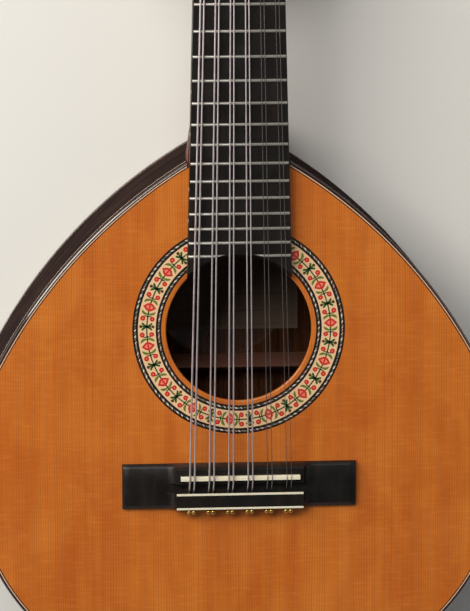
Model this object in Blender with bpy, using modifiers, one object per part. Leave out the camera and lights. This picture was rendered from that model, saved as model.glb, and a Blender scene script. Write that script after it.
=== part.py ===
"""A twelve-string bandurria lying on its flat back.

Metres. The origin is at the bottom centre of the whole instrument, +Z goes from the back to
the soundboard, +Y points to the head and +X is the treble side. Lengths along the instrument
are measured from the saddle (y = 0), and one empty shifts them to the origin.
"""

import math

import bmesh
import bpy
import numpy as np
from mathutils import Matrix, Vector

MM = 0.001

# Clearance between glued or seated pieces
GAP = 0.3 * MM

# Strings and frets
SCALE_LENGTH = 260 * MM
FRET_COUNT = 14
JOINT_FRET = 8
COURSES = 6
COURSE_SPACING_NUT = 7.45 * MM
COURSE_SPACING_SADDLE = 10.1 * MM
PAIR_SPACING_NUT = 1.75 * MM
PAIR_SPACING_SADDLE = 2.4 * MM
COURSE_RADII = [0.50 * MM, 0.46 * MM, 0.42 * MM, 0.37 * MM, 0.20 * MM, 0.15 * MM]

# Body outline, made of arcs that touch smoothly
BODY_WIDTH = 278.6 * MM
WIDEST_Y = 3.3 * MM
BOUT_RADIUS = 117 * MM
SHOULDER_RADIUS = 269.8 * MM
TAIL_RADIUS = 160 * MM
BODY_DEPTH = 70 * MM
PLATE_SETBACK = 2.8 * MM
OUTLINE_CHORD = 15 * MM

# Body walls
TOP_THICKNESS = 2.5 * MM
BACK_THICKNESS = 2.5 * MM
RIB_THICKNESS = 2.0 * MM
BINDING_WIDTH = 2.2 * MM
TOP_BINDING_HEIGHT = 7 * MM
BACK_BINDING_HEIGHT = 4 * MM
LINING_WIDTH = 6 * MM
LINING_HEIGHT = 10 * MM
END_BLOCK_WIDTH = 60 * MM
END_BLOCK_THICKNESS = 14 * MM

# Soundhole, rosette and label
HOLE_RADIUS = 37.65 * MM
HOLE_SETBACK = 87.09 * MM
ROSETTE_INNER = 40.2 * MM
ROSETTE_OUTER = 55.2 * MM
ROSETTE_THICKNESS = 1.3 * MM
ROUND_STEPS = 40
LABEL_WIDTH = 74 * MM
LABEL_HEIGHT = 48 * MM
LABEL_THICKNESS = 0.4 * MM
LABEL_LOWER_OFFSET = -11.7 * MM

# Bars, each placed along the instrument from the middle of the soundhole
TOP_BAR_WIDTH = 6 * MM
TOP_BAR_HEIGHT = 12 * MM
TOP_BAR_OFFSETS = {"soundboard_bar_upper": 47.8 * MM, "soundboard_bar_lower": -58.7 * MM}
BACK_BAR_WIDTH = 10 * MM
BACK_BAR_HEIGHT = 13 * MM
BACK_BAR_OFFSETS = {"back_bar_upper": -29.7 * MM, "back_bar_lower": -111.7 * MM}
BAR_END_HEIGHT = 4 * MM
BAR_TAPER_LENGTH = 30 * MM

# Fingerboard, frets and nut
BOARD_THICKNESS = 6 * MM
BOARD_WIDTH_NUT = 46.4 * MM
BOARD_WIDTH_JOINT = 51.2 * MM
BOARD_END_MARGIN = 1.5 * MM
FRET_WIDTH = 2.0 * MM
FRET_HEIGHT = 0.95 * MM
FRET_SUNK = 0.5 * MM
FRET_SIDE_MARGIN = 0.4 * MM
NUT_THICKNESS = 5 * MM
NUT_SLOT_HEIGHT = 0.35 * MM
NUT_EDGE_HEIGHT = 0.6 * MM
STRING_CLEARANCE = 0.3 * MM

# Bridge and saddle
BRIDGE_LENGTH = 122 * MM
BRIDGE_BLOCK_LENGTH = 66 * MM
BRIDGE_FRONT_Y = 6.5 * MM
BRIDGE_REAR_Y = -17 * MM
BRIDGE_WING_HEIGHT = 3.6 * MM
BRIDGE_RIDGE_HEIGHT = 8.0 * MM
BRIDGE_RIDGE_REAR_Y = -3.2 * MM
BRIDGE_TROUGH_HEIGHT = 3.6 * MM
TIE_BLOCK_FRONT_Y = -8.5 * MM
TIE_BLOCK_HEIGHT = 7.6 * MM
TIE_HOLE_HEIGHT = 5.2 * MM
TIE_HOLE_RADIUS = 0.85 * MM
SADDLE_THICKNESS = 2.2 * MM
SADDLE_LENGTH = 62 * MM
SADDLE_SLOT_DEPTH = 3.5 * MM
SADDLE_HEIGHT = 10.7 * MM

# Neck
NECK_THICKNESS_NUT = 14 * MM
NECK_THICKNESS_JOINT = 16 * MM
HEEL_WIDTH_EXTRA = 0.7 * MM
HEEL_LENGTH_TOP = 46 * MM
HEEL_CAP_LENGTH = 24 * MM
HEEL_CAP_HALF_WIDTH = 15 * MM
HEEL_LEVELS = 7
BLOCK_LENGTH = 25 * MM
FOOT_LENGTH = 18 * MM
FOOT_HEIGHT = 11 * MM
RIB_SLOT_INNER_X = 12 * MM
NECK_STEPS = 14

# Head, measured along its own sloping face from the nut
HEAD_TILT = math.radians(14)
HEAD_LENGTH = 162 * MM
HEAD_HALF_WIDTH = 37 * MM
HEAD_THICKNESS = 15 * MM
HEAD_FLARE_LENGTH = 20 * MM
HEAD_CREST_DEPTH = 12 * MM
VENEER_THICKNESS = 2 * MM

# Tuners
TUNERS_PER_SIDE = 6
TUNER_PITCH = 21 * MM
FIRST_TUNER = 30 * MM
POST_ROW_X = 24 * MM
POST_RADIUS = 3.0 * MM
POST_HEIGHT = 12 * MM
STRING_HOLE_HEIGHT = 7 * MM
STRING_HOLE_RADIUS = 0.9 * MM
POST_STEPS = 8
POST_HOLE_STEPS = 10
PLATE_THICKNESS = 1.2 * MM
PLATE_WIDTH = 17 * MM
PLATE_END_MARGIN = 9 * MM
GEAR_TEETH = 14
GEAR_MODULE_RADIUS = 4.0 * MM
GEAR_TIP_HEIGHT = 0.5 * MM
GEAR_ROOT_DEPTH = 0.6 * MM
GEAR_THICKNESS = 3.0 * MM
GEAR_TOOTH_SHARE = 0.34
WORM_PITCH_RADIUS = 1.9 * MM
WORM_TIP_HEIGHT = 0.4 * MM
WORM_ROOT_DEPTH = 0.6 * MM
WORM_TURNS = 3.5
WORM_STEPS = 8
WORM_THREAD_SHARE = 0.32
KEY_SHAFT_RADIUS = 1.2 * MM
LUG_THICKNESS = 1.4 * MM
LUG_WIDTH = 5 * MM
BUTTON_INNER_X = 41.5 * MM
BUTTON_LENGTH = 13 * MM
BUTTON_WIDTH = 15 * MM
BUTTON_THICKNESS = 6.5 * MM

# Places that follow from the sizes above
JOINT_Y = SCALE_LENGTH * 2 ** (-JOINT_FRET / 12)
PLATE_END_Y = JOINT_Y - PLATE_SETBACK
HOLE_Y = JOINT_Y - HOLE_SETBACK
TOP_UNDERSIDE = BODY_DEPTH - TOP_THICKNESS
BOARD_TOP = BODY_DEPTH + BOARD_THICKNESS
FRET_TOP = BOARD_TOP + FRET_HEIGHT
NUT_SLOT_TOP = FRET_TOP + NUT_SLOT_HEIGHT - GAP
SADDLE_TOP = BODY_DEPTH + SADDLE_HEIGHT
HEEL_HALF_WIDTH = BOARD_WIDTH_JOINT / 2 + HEEL_WIDTH_EXTRA
PLATE_INSET = BINDING_WIDTH + GAP
LINING_OUTER = max(RIB_THICKNESS, BINDING_WIDTH) + GAP
LINING_INNER = LINING_OUTER + LINING_WIDTH
BOUT_X = BODY_WIDTH / 2 - BOUT_RADIUS
NECK_TOP = BODY_DEPTH - GAP
HEAD_Y = SCALE_LENGTH + NUT_THICKNESS + 2 * GAP
WORM_RADIUS = WORM_PITCH_RADIUS + WORM_TIP_HEIGHT
WORM_LEAD = 2 * math.pi * GEAR_MODULE_RADIUS / GEAR_TEETH
WORM_LENGTH = WORM_TURNS * WORM_LEAD
GEAR_CENTRE_DISTANCE = GEAR_MODULE_RADIUS + WORM_PITCH_RADIUS
PLATE_UNDERSIDE = -(HEAD_THICKNESS + GAP + PLATE_THICKNESS)
GEAR_Z = PLATE_UNDERSIDE - GAP - WORM_RADIUS
STRING_COUNT = 2 * COURSES
VENEER_TOP = GAP + VENEER_THICKNESS
VENEER_LENGTH = HEAD_LENGTH - GAP
HEAD_TIP_Y = HEAD_Y + VENEER_LENGTH * math.cos(HEAD_TILT) + VENEER_TOP * math.sin(HEAD_TILT)
TAIL_CENTRE_Y = WIDEST_Y + math.sqrt((TAIL_RADIUS - BOUT_RADIUS) ** 2 - BOUT_X**2)
TAIL_Y = TAIL_CENTRE_Y - TAIL_RADIUS

# The instrument's middle, and the frame of the head's sloping face
CENTRE_Y = (HEAD_TIP_Y + TAIL_Y) / 2
HEAD_FRAME = Matrix.Translation((0, HEAD_Y, NECK_TOP)) @ Matrix.Rotation(-HEAD_TILT, 4, "X")

# Axes that turn a flat outline up, to be extruded along X or along Y
ALONG_X = Matrix(((0, 0, 1, 0), (1, 0, 0, 0), (0, 1, 0, 0), (0, 0, 0, 1)))
ALONG_Y = Matrix(((1, 0, 0, 0), (0, 0, -1, 0), (0, 1, 0, 0), (0, 0, 0, 1)))


# Scene and materials


def clear_scene():
    for obj in list(bpy.data.objects):
        bpy.data.objects.remove(obj, do_unlink=True)


def new_collection(name):
    collection = bpy.data.collections.new(name)
    bpy.context.scene.collection.children.link(collection)
    return collection


def new_material(name, colour, roughness, metallic=0.0):
    material = bpy.data.materials.new(name)
    material.use_nodes = True
    principled = material.node_tree.nodes["Principled BSDF"]
    principled.inputs["Base Color"].default_value = (*colour, 1)
    principled.inputs["Roughness"].default_value = roughness
    principled.inputs["Metallic"].default_value = metallic
    return material


clear_scene()
PARTS = new_collection("bandurria")
CUTTERS = new_collection("cutters")

CEDAR = new_material("cedar_top", (0.50, 0.15, 0.03), 0.35)
ROSEWOOD = new_material("rosewood", (0.06, 0.018, 0.01), 0.25)
BINDING_WOOD = new_material("binding_rosewood", (0.05, 0.015, 0.01), 0.25)
MAHOGANY = new_material("neck_mahogany", (0.25, 0.07, 0.03), 0.35)
EBONY = new_material("ebony", (0.02, 0.015, 0.013), 0.4)
VENEER = new_material("head_rosewood", (0.05, 0.015, 0.008), 0.25)
BONE = new_material("bone", (0.80, 0.76, 0.62), 0.4)
MOSAIC = new_material("rosette_mosaic", (0.35, 0.28, 0.12), 0.4)
SPRUCE = new_material("spruce", (0.62, 0.45, 0.25), 0.6)
CEDAR_BLOCK = new_material("cedar_block", (0.45, 0.20, 0.09), 0.6)
PAPER = new_material("label_paper", (0.75, 0.68, 0.50), 0.8)
WOUND_STEEL = new_material("wound_string", (0.75, 0.75, 0.74), 0.25, 1.0)
PLAIN_STEEL = new_material("plain_string", (0.60, 0.60, 0.60), 0.2, 1.0)
NICKEL = new_material("nickel_plate", (0.70, 0.68, 0.62), 0.25, 1.0)
PEARLOID = new_material("key_button", (0.82, 0.78, 0.68), 0.3)


# Mesh helpers


def baked_mesh(obj):
    """The object's evaluated mesh, with the caps of a curve welded to its sides."""
    bpy.context.view_layer.update()
    graph = bpy.context.evaluated_depsgraph_get()
    mesh = bpy.data.meshes.new_from_object(obj.evaluated_get(graph))
    work = bmesh.new()
    work.from_mesh(mesh)
    bmesh.ops.remove_doubles(work, verts=work.verts, dist=0.001 * MM)
    bmesh.ops.recalc_face_normals(work, faces=work.faces)
    work.to_mesh(mesh)
    work.free()
    return mesh


def place(name, mesh, material, matrix=None, collection=None):
    obj = bpy.data.objects.new(name, mesh)
    obj.matrix_world = matrix or Matrix()
    (collection or PARTS).objects.link(obj)
    if material is not None:
        mesh.materials.clear()
        mesh.materials.append(material)
    return obj


def bake(obj, name, material):
    """Replaces the object by a plain mesh object of its evaluated shape, and drops its cutters."""
    mesh = baked_mesh(obj)
    matrix = obj.matrix_world.copy()
    for modifier in obj.modifiers:
        if modifier.type == "BOOLEAN":
            bpy.data.objects.remove(modifier.object, do_unlink=True)
    bpy.data.objects.remove(obj, do_unlink=True)
    mesh.name = name
    return place(name, mesh, material, matrix)


def as_cutter(obj):
    for collection in list(obj.users_collection):
        collection.objects.unlink(obj)
    CUTTERS.objects.link(obj)
    obj.hide_render = True
    obj.display_type = "WIRE"
    return obj


def boolean(obj, other, operation):
    modifier = obj.modifiers.new(operation.lower(), "BOOLEAN")
    modifier.operation = operation
    modifier.object = as_cutter(other)
    return obj


def smooth(obj, degrees=35):
    obj.data.shade_smooth()
    obj.data.set_sharp_from_angle(angle=math.radians(degrees))
    return obj


def prism(name, loops, low, high, material=None, axes=None):
    """Flat outlines, the first with the others as holes, extruded from low to high."""
    curve = bpy.data.curves.new(name, "CURVE")
    curve.dimensions = "2D"
    curve.fill_mode = "BOTH"
    curve.extrude = (high - low) / 2
    for loop in loops:
        spline = curve.splines.new("POLY")
        spline.points.add(len(loop) - 1)
        for point, (x, y) in zip(spline.points, loop):
            point.co = (x, y, 0, 1)
        spline.use_cyclic_u = True
    flat = bpy.data.objects.new(name, curve)
    flat.matrix_world = (axes or Matrix()) @ Matrix.Translation((0, 0, (low + high) / 2))
    PARTS.objects.link(flat)
    return bake(flat, name, material)


def turned(name, profile, steps, material=None):
    """A profile of (radius, z) points, top to bottom, turned about Z."""
    mesh = bpy.data.meshes.new(name)
    points = [(radius, 0, z) for radius, z in profile]
    edges = [(i, i + 1) for i in range(len(points) - 1)]
    mesh.from_pydata(points, edges, [])
    obj = place(name, mesh, material)
    screw = obj.modifiers.new("turn", "SCREW")
    screw.steps = steps
    screw.render_steps = steps
    screw.use_merge_vertices = True
    screw.merge_threshold = 0.001 * MM
    return bake(obj, name, material)


def boxes(name, limits, material=None):
    """Boxes, each given by its (x, y, z) low and high corners, in one mesh."""
    work = bmesh.new()
    for low, high in limits:
        size = Vector(high) - Vector(low)
        middle = (Vector(high) + Vector(low)) / 2
        matrix = Matrix.Translation(middle) @ Matrix.Diagonal((*size, 1))
        bmesh.ops.create_cube(work, size=1, matrix=matrix)
    mesh = bpy.data.meshes.new(name)
    work.to_mesh(mesh)
    work.free()
    return place(name, mesh, material)


def rods(name, placed, radius, length, steps, material=None):
    """Cylinders along the Z axis of each matrix, in one mesh."""
    work = bmesh.new()
    for matrix in placed:
        bmesh.ops.create_cone(
            work, cap_ends=True, segments=steps, radius1=radius, radius2=radius,
            depth=length, matrix=matrix,
        )
    mesh = bpy.data.meshes.new(name)
    work.to_mesh(mesh)
    work.free()
    return place(name, mesh, material)


def loft(name, sections, material=None):
    """A closed skin through rings of equal point counts, capped at both ends.

    It is made of triangles, so that a boolean meets only flat faces.
    """
    work = bmesh.new()
    rings = [[work.verts.new(point) for point in section] for section in sections]
    for ring, following in zip(rings, rings[1:]):
        for i in range(len(ring)):
            j = (i + 1) % len(ring)
            work.faces.new((ring[i], ring[j], following[j], following[i]))
    work.faces.new(rings[0])
    work.faces.new(rings[-1])
    bmesh.ops.recalc_face_normals(work, faces=work.faces)
    bmesh.ops.triangulate(work, faces=work.faces)
    mesh = bpy.data.meshes.new(name)
    work.to_mesh(mesh)
    work.free()
    return place(name, mesh, material)


# The body outline


def shoulder_angle():
    """Normal angle at which the shoulder arc, which ends at the neck joint, meets the bout arc."""
    across = HEEL_HALF_WIDTH - BOUT_X
    along = JOINT_Y - WIDEST_Y
    reach = math.hypot(across, along)
    between = SHOULDER_RADIUS - BOUT_RADIUS
    cosine = (SHOULDER_RADIUS**2 - between**2 - reach**2) / (2 * between * reach)
    return math.atan2(along, across) - math.acos(cosine)


SHOULDER_ANGLE = shoulder_angle()
SHOULDER_X = BOUT_X - (SHOULDER_RADIUS - BOUT_RADIUS) * math.cos(SHOULDER_ANGLE)
SHOULDER_Y = WIDEST_Y - (SHOULDER_RADIUS - BOUT_RADIUS) * math.sin(SHOULDER_ANGLE)
TAIL_ANGLE = math.atan2(WIDEST_Y - TAIL_CENTRE_Y, BOUT_X)


def on_arc(centre_x, centre_y, radius, angles):
    return [(centre_x + radius * math.cos(a), centre_y + radius * math.sin(a)) for a in angles]


def arc(centre_x, centre_y, radius, start, end, steps):
    return on_arc(centre_x, centre_y, radius, np.linspace(start, end, steps + 1))


def angles_from(fixed, free, radius):
    """Angles one chord apart from the fixed end on, the last of them moved to the free end.

    Outlines with different insets then have their corners side by side.
    """
    count = max(1, math.ceil(abs(free - fixed) * radius / OUTLINE_CHORD - 0.25))
    step = math.copysign(OUTLINE_CHORD / radius, free - fixed)
    return [fixed + i * step for i in range(count)] + [free]


def outline(inset, end_x=None, end_y=None, seam=0.0):
    """The right half of the outline, moved inwards, from the neck to the tail seam."""
    radius = SHOULDER_RADIUS - inset
    if end_x is not None:
        start = math.acos((end_x - SHOULDER_X) / radius)
    else:
        start = math.asin((end_y - SHOULDER_Y) / radius)
    last = -math.pi / 2 + math.asin(seam / (TAIL_RADIUS - inset))
    shoulder = angles_from(SHOULDER_ANGLE, start, SHOULDER_RADIUS)[::-1]
    bout = angles_from(SHOULDER_ANGLE, TAIL_ANGLE, BOUT_RADIUS)
    tail = angles_from(TAIL_ANGLE, last, TAIL_RADIUS)
    points = on_arc(SHOULDER_X, SHOULDER_Y, radius, shoulder)
    points += on_arc(BOUT_X, WIDEST_Y, BOUT_RADIUS - inset, bout[1:])
    points += on_arc(0, TAIL_CENTRE_Y, TAIL_RADIUS - inset, tail[1:])
    return points


def mirrored(points):
    """The same points on the left, in the opposite order."""
    return [(-x, y) for x, y in reversed(points)]


def whole(right_half):
    """Both halves as one run, sharing the point on the centre line."""
    return right_half + mirrored(right_half)[1:]


def half_width(y, inset):
    """Distance from the centre line to the outline moved inwards, at this y."""
    if y > SHOULDER_Y + (SHOULDER_RADIUS - inset) * math.sin(SHOULDER_ANGLE):
        return SHOULDER_X + math.sqrt((SHOULDER_RADIUS - inset) ** 2 - (y - SHOULDER_Y) ** 2)
    if y > TAIL_CENTRE_Y + (TAIL_RADIUS - inset) * math.sin(TAIL_ANGLE):
        return BOUT_X + math.sqrt((BOUT_RADIUS - inset) ** 2 - (y - WIDEST_Y) ** 2)
    return math.sqrt((TAIL_RADIUS - inset) ** 2 - (y - TAIL_CENTRE_Y) ** 2)


def hoop(outer, inner, **ends):
    """A U-shaped band that runs from the neck round the tail and back."""
    return whole(outline(outer, **ends)) + list(reversed(whole(outline(inner, **ends))))


def circle(radius, steps, x=0.0, y=0.0):
    return arc(x, y, radius, 0, 2 * math.pi * (1 - 1 / steps), steps - 1)


# Body pieces


def soundboard():
    board = prism(
        "soundboard",
        [whole(outline(PLATE_INSET, end_y=PLATE_END_Y)), circle(HOLE_RADIUS, ROUND_STEPS, y=HOLE_Y)],
        TOP_UNDERSIDE, BODY_DEPTH, CEDAR,
    )
    recess = prism(
        "rosette_recess",
        [
            circle(ROSETTE_OUTER + GAP, ROUND_STEPS, y=HOLE_Y),
            circle(ROSETTE_INNER - GAP, ROUND_STEPS, y=HOLE_Y),
        ],
        BODY_DEPTH - ROSETTE_THICKNESS - GAP, BODY_DEPTH + TOP_THICKNESS,
    )
    boolean(board, recess, "DIFFERENCE")
    return bake(board, "soundboard", CEDAR)


def rosette():
    loops = [
        circle(ROSETTE_OUTER, ROUND_STEPS, y=HOLE_Y),
        circle(ROSETTE_INNER, ROUND_STEPS, y=HOLE_Y),
    ]
    return prism("rosette", loops, BODY_DEPTH - ROSETTE_THICKNESS, BODY_DEPTH, MOSAIC)


def back_plate():
    loops = [whole(outline(PLATE_INSET, end_y=BACK_END_Y))]
    return prism("back_plate", loops, 0, BACK_THICKNESS, ROSEWOOD)


def rib_outline():
    outer = outline(0, end_x=RIB_SLOT_INNER_X, seam=GAP / 2)
    inner = outline(RIB_THICKNESS, end_x=RIB_SLOT_INNER_X, seam=GAP / 2)
    return outer + list(reversed(inner))


def ribs():
    right = rib_outline()
    low = BACK_BINDING_HEIGHT + GAP
    high = BODY_DEPTH - TOP_BINDING_HEIGHT - GAP
    prism("rib_right", [right], low, high, ROSEWOOD)
    prism("rib_left", [mirrored(right)], low, high, ROSEWOOD)


def outline_y(x):
    """How far up the shoulder arc reaches at this distance from the centre line."""
    return SHOULDER_Y + math.sqrt(SHOULDER_RADIUS**2 - (x - SHOULDER_X) ** 2)


def heel_half_width(z):
    """Half the heel's width at this height: narrow at the cap, full width at the shaft."""
    rise = min(z / (NECK_TOP - NECK_THICKNESS_JOINT), 1)
    return HEEL_CAP_HALF_WIDTH + (HEEL_HALF_WIDTH - HEEL_CAP_HALF_WIDTH) * rise


BACK_END_X = heel_half_width(BACK_BINDING_HEIGHT) + GAP
BACK_END_Y = outline_y(BACK_END_X) - PLATE_SETBACK


def binding_outline(end_x, end_y):
    """A band as wide as the binding, its outer corner run out to the side of the heel."""
    outer = outline(0, end_x=end_x)
    corner = [(end_x, end_y)]
    inner = outline(BINDING_WIDTH, end_y=end_y)
    return corner + whole(outer) + mirrored(corner) + list(reversed(whole(inner)))


def bindings():
    top = binding_outline(HEEL_HALF_WIDTH + GAP, PLATE_END_Y)
    back = binding_outline(BACK_END_X, BACK_END_Y)
    top_low = BODY_DEPTH - TOP_BINDING_HEIGHT
    prism("binding_top", [top], top_low, BODY_DEPTH, BINDING_WOOD)
    prism("binding_back", [back], 0, BACK_BINDING_HEIGHT, BINDING_WOOD)


def lining_limits():
    """Lower and upper z of the back lining and of the top lining."""
    back = (BACK_THICKNESS + GAP, BACK_THICKNESS + GAP + LINING_HEIGHT)
    top = (TOP_UNDERSIDE - GAP - LINING_HEIGHT, TOP_UNDERSIDE - GAP)
    return {"lining_back": back, "lining_top": top}


def linings():
    band = hoop(LINING_OUTER, LINING_INNER, end_x=HEEL_HALF_WIDTH + GAP)
    for name, (low, high) in lining_limits().items():
        prism(name, [band], low, high, CEDAR_BLOCK)


def end_block():
    half = END_BLOCK_WIDTH / 2
    start = -math.acos(half / (TAIL_RADIUS - LINING_OUTER))
    steps = math.ceil(END_BLOCK_WIDTH / OUTLINE_CHORD)
    rear = arc(0, TAIL_CENTRE_Y, TAIL_RADIUS - LINING_OUTER, start, -math.pi - start, steps)
    front_y = TAIL_Y + LINING_OUTER + END_BLOCK_THICKNESS
    shape = [(half, front_y)] + rear + [(-half, front_y)]
    low = BACK_THICKNESS + GAP
    high = TOP_UNDERSIDE - GAP
    block = prism("end_block", [shape], low, high, CEDAR_BLOCK)
    # Rebates behind the block take the two linings
    band = hoop(LINING_OUTER - MM, LINING_INNER + GAP, end_x=HEEL_HALF_WIDTH)
    limits = lining_limits()
    boolean(block, prism("back_rebate", [band], low - MM, limits["lining_back"][1] + GAP), "DIFFERENCE")
    boolean(block, prism("top_rebate", [band], limits["lining_top"][0] - GAP, high + MM), "DIFFERENCE")
    return bake(block, "end_block", CEDAR_BLOCK)


def bar_profile(y, width, height):
    """A bar's face, flat along z = 0, its ends drawn down towards the linings."""
    half = min(half_width(y + side * width / 2, LINING_INNER + GAP) for side in (-1, 1))
    inner = half - BAR_TAPER_LENGTH
    end = min(BAR_END_HEIGHT, height / 2)
    return [(-half, 0), (half, 0), (half, end), (inner, height), (-inner, height), (-half, end)]


def bars():
    for name, offset in TOP_BAR_OFFSETS.items():
        y = HOLE_Y + offset
        face = [(x, -z) for x, z in bar_profile(y, TOP_BAR_WIDTH, TOP_BAR_HEIGHT)]
        axes = Matrix.Translation((0, y, TOP_UNDERSIDE - GAP)) @ ALONG_Y
        prism(name, [face], -TOP_BAR_WIDTH / 2, TOP_BAR_WIDTH / 2, SPRUCE, axes)
    for name, offset in BACK_BAR_OFFSETS.items():
        y = HOLE_Y + offset
        face = bar_profile(y, BACK_BAR_WIDTH, BACK_BAR_HEIGHT)
        axes = Matrix.Translation((0, y, BACK_THICKNESS + GAP)) @ ALONG_Y
        prism(name, [face], -BACK_BAR_WIDTH / 2, BACK_BAR_WIDTH / 2, SPRUCE, axes)


def label():
    low = BACK_THICKNESS + GAP
    lower_y = HOLE_Y + LABEL_LOWER_OFFSET
    limits = (
        (-LABEL_WIDTH / 2, lower_y, low),
        (LABEL_WIDTH / 2, lower_y + LABEL_HEIGHT, low + LABEL_THICKNESS),
    )
    return boxes("label", [limits], PAPER)


# Neck with its heel, block, foot and head


def board_half_width(y):
    """Half the fingerboard's width, from the nut to the joint and on at the same taper."""
    share = (SCALE_LENGTH - y) / (SCALE_LENGTH - JOINT_Y)
    return BOARD_WIDTH_NUT / 2 + share * (BOARD_WIDTH_JOINT - BOARD_WIDTH_NUT) / 2


def neck_section(y, half, top, depth):
    """A D-shaped ring across the neck: flat on top, rounded below."""
    ring = []
    for angle in np.linspace(0, math.pi, NECK_STEPS + 1):
        across = math.copysign(abs(math.cos(angle)) ** 0.85, math.cos(angle))
        ring.append((half * across, y, top - depth * math.sin(angle) ** 0.9))
    return ring


def neck_shaft():
    """The neck from inside the head to the body, under the fingerboard."""
    overlap = 3 * MM
    half_nut = board_half_width(SCALE_LENGTH)
    under_head = NECK_TOP - overlap * math.tan(HEAD_TILT) - GAP
    rear = PLATE_END_Y + GAP
    sections = [
        neck_section(HEAD_Y + overlap, half_nut - GAP, under_head, NECK_THICKNESS_NUT),
        neck_section(HEAD_Y, half_nut, NECK_TOP, NECK_THICKNESS_NUT),
        neck_section(JOINT_Y, board_half_width(JOINT_Y), NECK_TOP, NECK_THICKNESS_JOINT),
        neck_section(rear, HEEL_HALF_WIDTH, NECK_TOP, NECK_THICKNESS_JOINT),
    ]
    return loft("neck", sections, MAHOGANY)


def heel():
    """Level rings from the heel cap up into the shaft, drawn out further towards the shaft."""
    rear = PLATE_END_Y + GAP
    high = NECK_TOP - MM
    shaft_underside = NECK_TOP - NECK_THICKNESS_JOINT
    sections = []
    for share in np.linspace(0, 1, HEEL_LEVELS):
        z = GAP + share * (high - GAP)
        rise = min(z / shaft_underside, 1)
        reach = HEEL_CAP_LENGTH + (HEEL_LENGTH_TOP - HEEL_CAP_LENGTH) * (1 - math.sqrt(1 - rise**2))
        half = heel_half_width(z)
        ring = []
        for angle in np.linspace(0, math.pi, NECK_STEPS + 1):
            across = math.copysign(abs(math.cos(angle)) ** 0.7, math.cos(angle))
            ring.append((half * across, rear + reach * math.sin(angle), z))
        sections.append(ring)
    return loft("heel", sections)


def neck_block():
    """The block inside the body that the ribs are let into, and the foot on the back."""
    low = BACK_THICKNESS + GAP
    high = TOP_UNDERSIDE - GAP
    rear = PLATE_END_Y - BLOCK_LENGTH
    overlap = 2 * MM
    half = HEEL_HALF_WIDTH
    side_points = [
        (rear - FOOT_LENGTH, low),
        (PLATE_END_Y + overlap, low),
        (PLATE_END_Y + overlap, high),
        (rear, high),
        (rear, low + FOOT_HEIGHT),
        (rear - FOOT_LENGTH, low + FOOT_HEIGHT / 3),
    ]
    return prism("neck_block", [side_points], -half, half, None, ALONG_X)


def head_outline(margin=0.0):
    """The head's face in its own frame, flaring from the nut's width to a curved crest."""
    narrow = board_half_width(SCALE_LENGTH)
    wide = HEAD_HALF_WIDTH
    steps = 6
    right = [(narrow - margin, margin)]
    for i in range(1, steps + 1):
        share = i / steps
        eased = share * share * (3 - 2 * share)
        right.append((narrow + (wide - narrow) * eased - margin, HEAD_FLARE_LENGTH * share + margin))
    shoulder = HEAD_LENGTH - HEAD_CREST_DEPTH
    right.append((wide - margin, shoulder - margin))
    for i in range(1, steps + 1):
        share = i / steps
        dip = math.sin(math.pi * share) * HEAD_CREST_DEPTH / 4
        x = (wide - margin) * (1 - share)
        rise = HEAD_CREST_DEPTH * math.sin(math.pi / 2 * share)
        right.append((x, shoulder + rise - dip - margin))
    left = [(-x, y) for x, y in right[:-1]]
    return right[::-1] + left


def tuner_places():
    """(side, number, place along the head) for each tuner, bass side first, nut to tip."""
    places = []
    for side in (-1, 1):
        for row in range(TUNERS_PER_SIDE):
            number = row + 1 if side < 0 else STRING_COUNT - row
            places.append((side, number, FIRST_TUNER + row * TUNER_PITCH))
    return places


def post_holes(name):
    matrices = [Matrix.Translation((side * POST_ROW_X, along, 0)) for side, _, along in tuner_places()]
    return rods(name, matrices, POST_RADIUS + GAP, 4 * HEAD_THICKNESS, POST_HOLE_STEPS)


def neck():
    wood = neck_shaft()
    boolean(wood, heel(), "UNION")
    boolean(wood, neck_block(), "UNION")
    head = prism("head_wood", [head_outline()], -HEAD_THICKNESS, 0)
    head.matrix_world = HEAD_FRAME @ head.matrix_world
    boolean(wood, head, "UNION")
    holes = post_holes("head_holes")
    holes.matrix_world = HEAD_FRAME
    boolean(wood, holes, "DIFFERENCE")
    # Slots that take the ribs, and a rebate above and below for the bindings
    slot_x = RIB_SLOT_INNER_X - GAP
    outer = outline(-GAP, end_x=slot_x)
    inner = outline(LINING_OUTER, end_x=slot_x)
    slot = outer + list(reversed(inner))
    low = BACK_BINDING_HEIGHT
    high = BODY_DEPTH - TOP_BINDING_HEIGHT
    boolean(wood, prism("rib_slot_right", [slot], low, high), "DIFFERENCE")
    boolean(wood, prism("rib_slot_left", [mirrored(slot)], low, high), "DIFFERENCE")
    rebates = {
        "top": (PLATE_END_Y + GAP, high - GAP, BODY_DEPTH),
        "back": (BACK_END_Y + GAP, -MM, low + GAP),
    }
    for name, (end_y, bottom, top) in rebates.items():
        rebate = outline(-GAP, end_y=end_y) + list(reversed(outline(LINING_OUTER, end_y=end_y)))
        boolean(wood, prism("rebate_right_" + name, [rebate], bottom, top), "DIFFERENCE")
        boolean(wood, prism("rebate_left_" + name, [mirrored(rebate)], bottom, top), "DIFFERENCE")
    reach = HEEL_CAP_LENGTH + BLOCK_LENGTH
    room = ((-reach, BACK_END_Y - reach, -MM), (reach, BACK_END_Y + GAP, BACK_THICKNESS + GAP))
    boolean(wood, boxes("back_plate_room", [room]), "DIFFERENCE")
    return smooth(bake(wood, "neck", MAHOGANY))


def head_veneer():
    veneer = prism("head_veneer", [head_outline(GAP)], GAP, VENEER_TOP)
    boolean(veneer, post_holes("veneer_holes"), "DIFFERENCE")
    veneer = bake(veneer, "head_veneer", VENEER)
    veneer.matrix_world = HEAD_FRAME @ veneer.matrix_world
    return veneer


# Fingerboard, nut, bridge, saddle


def fret_y(number):
    return SCALE_LENGTH * 2 ** (-number / 12)


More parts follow.
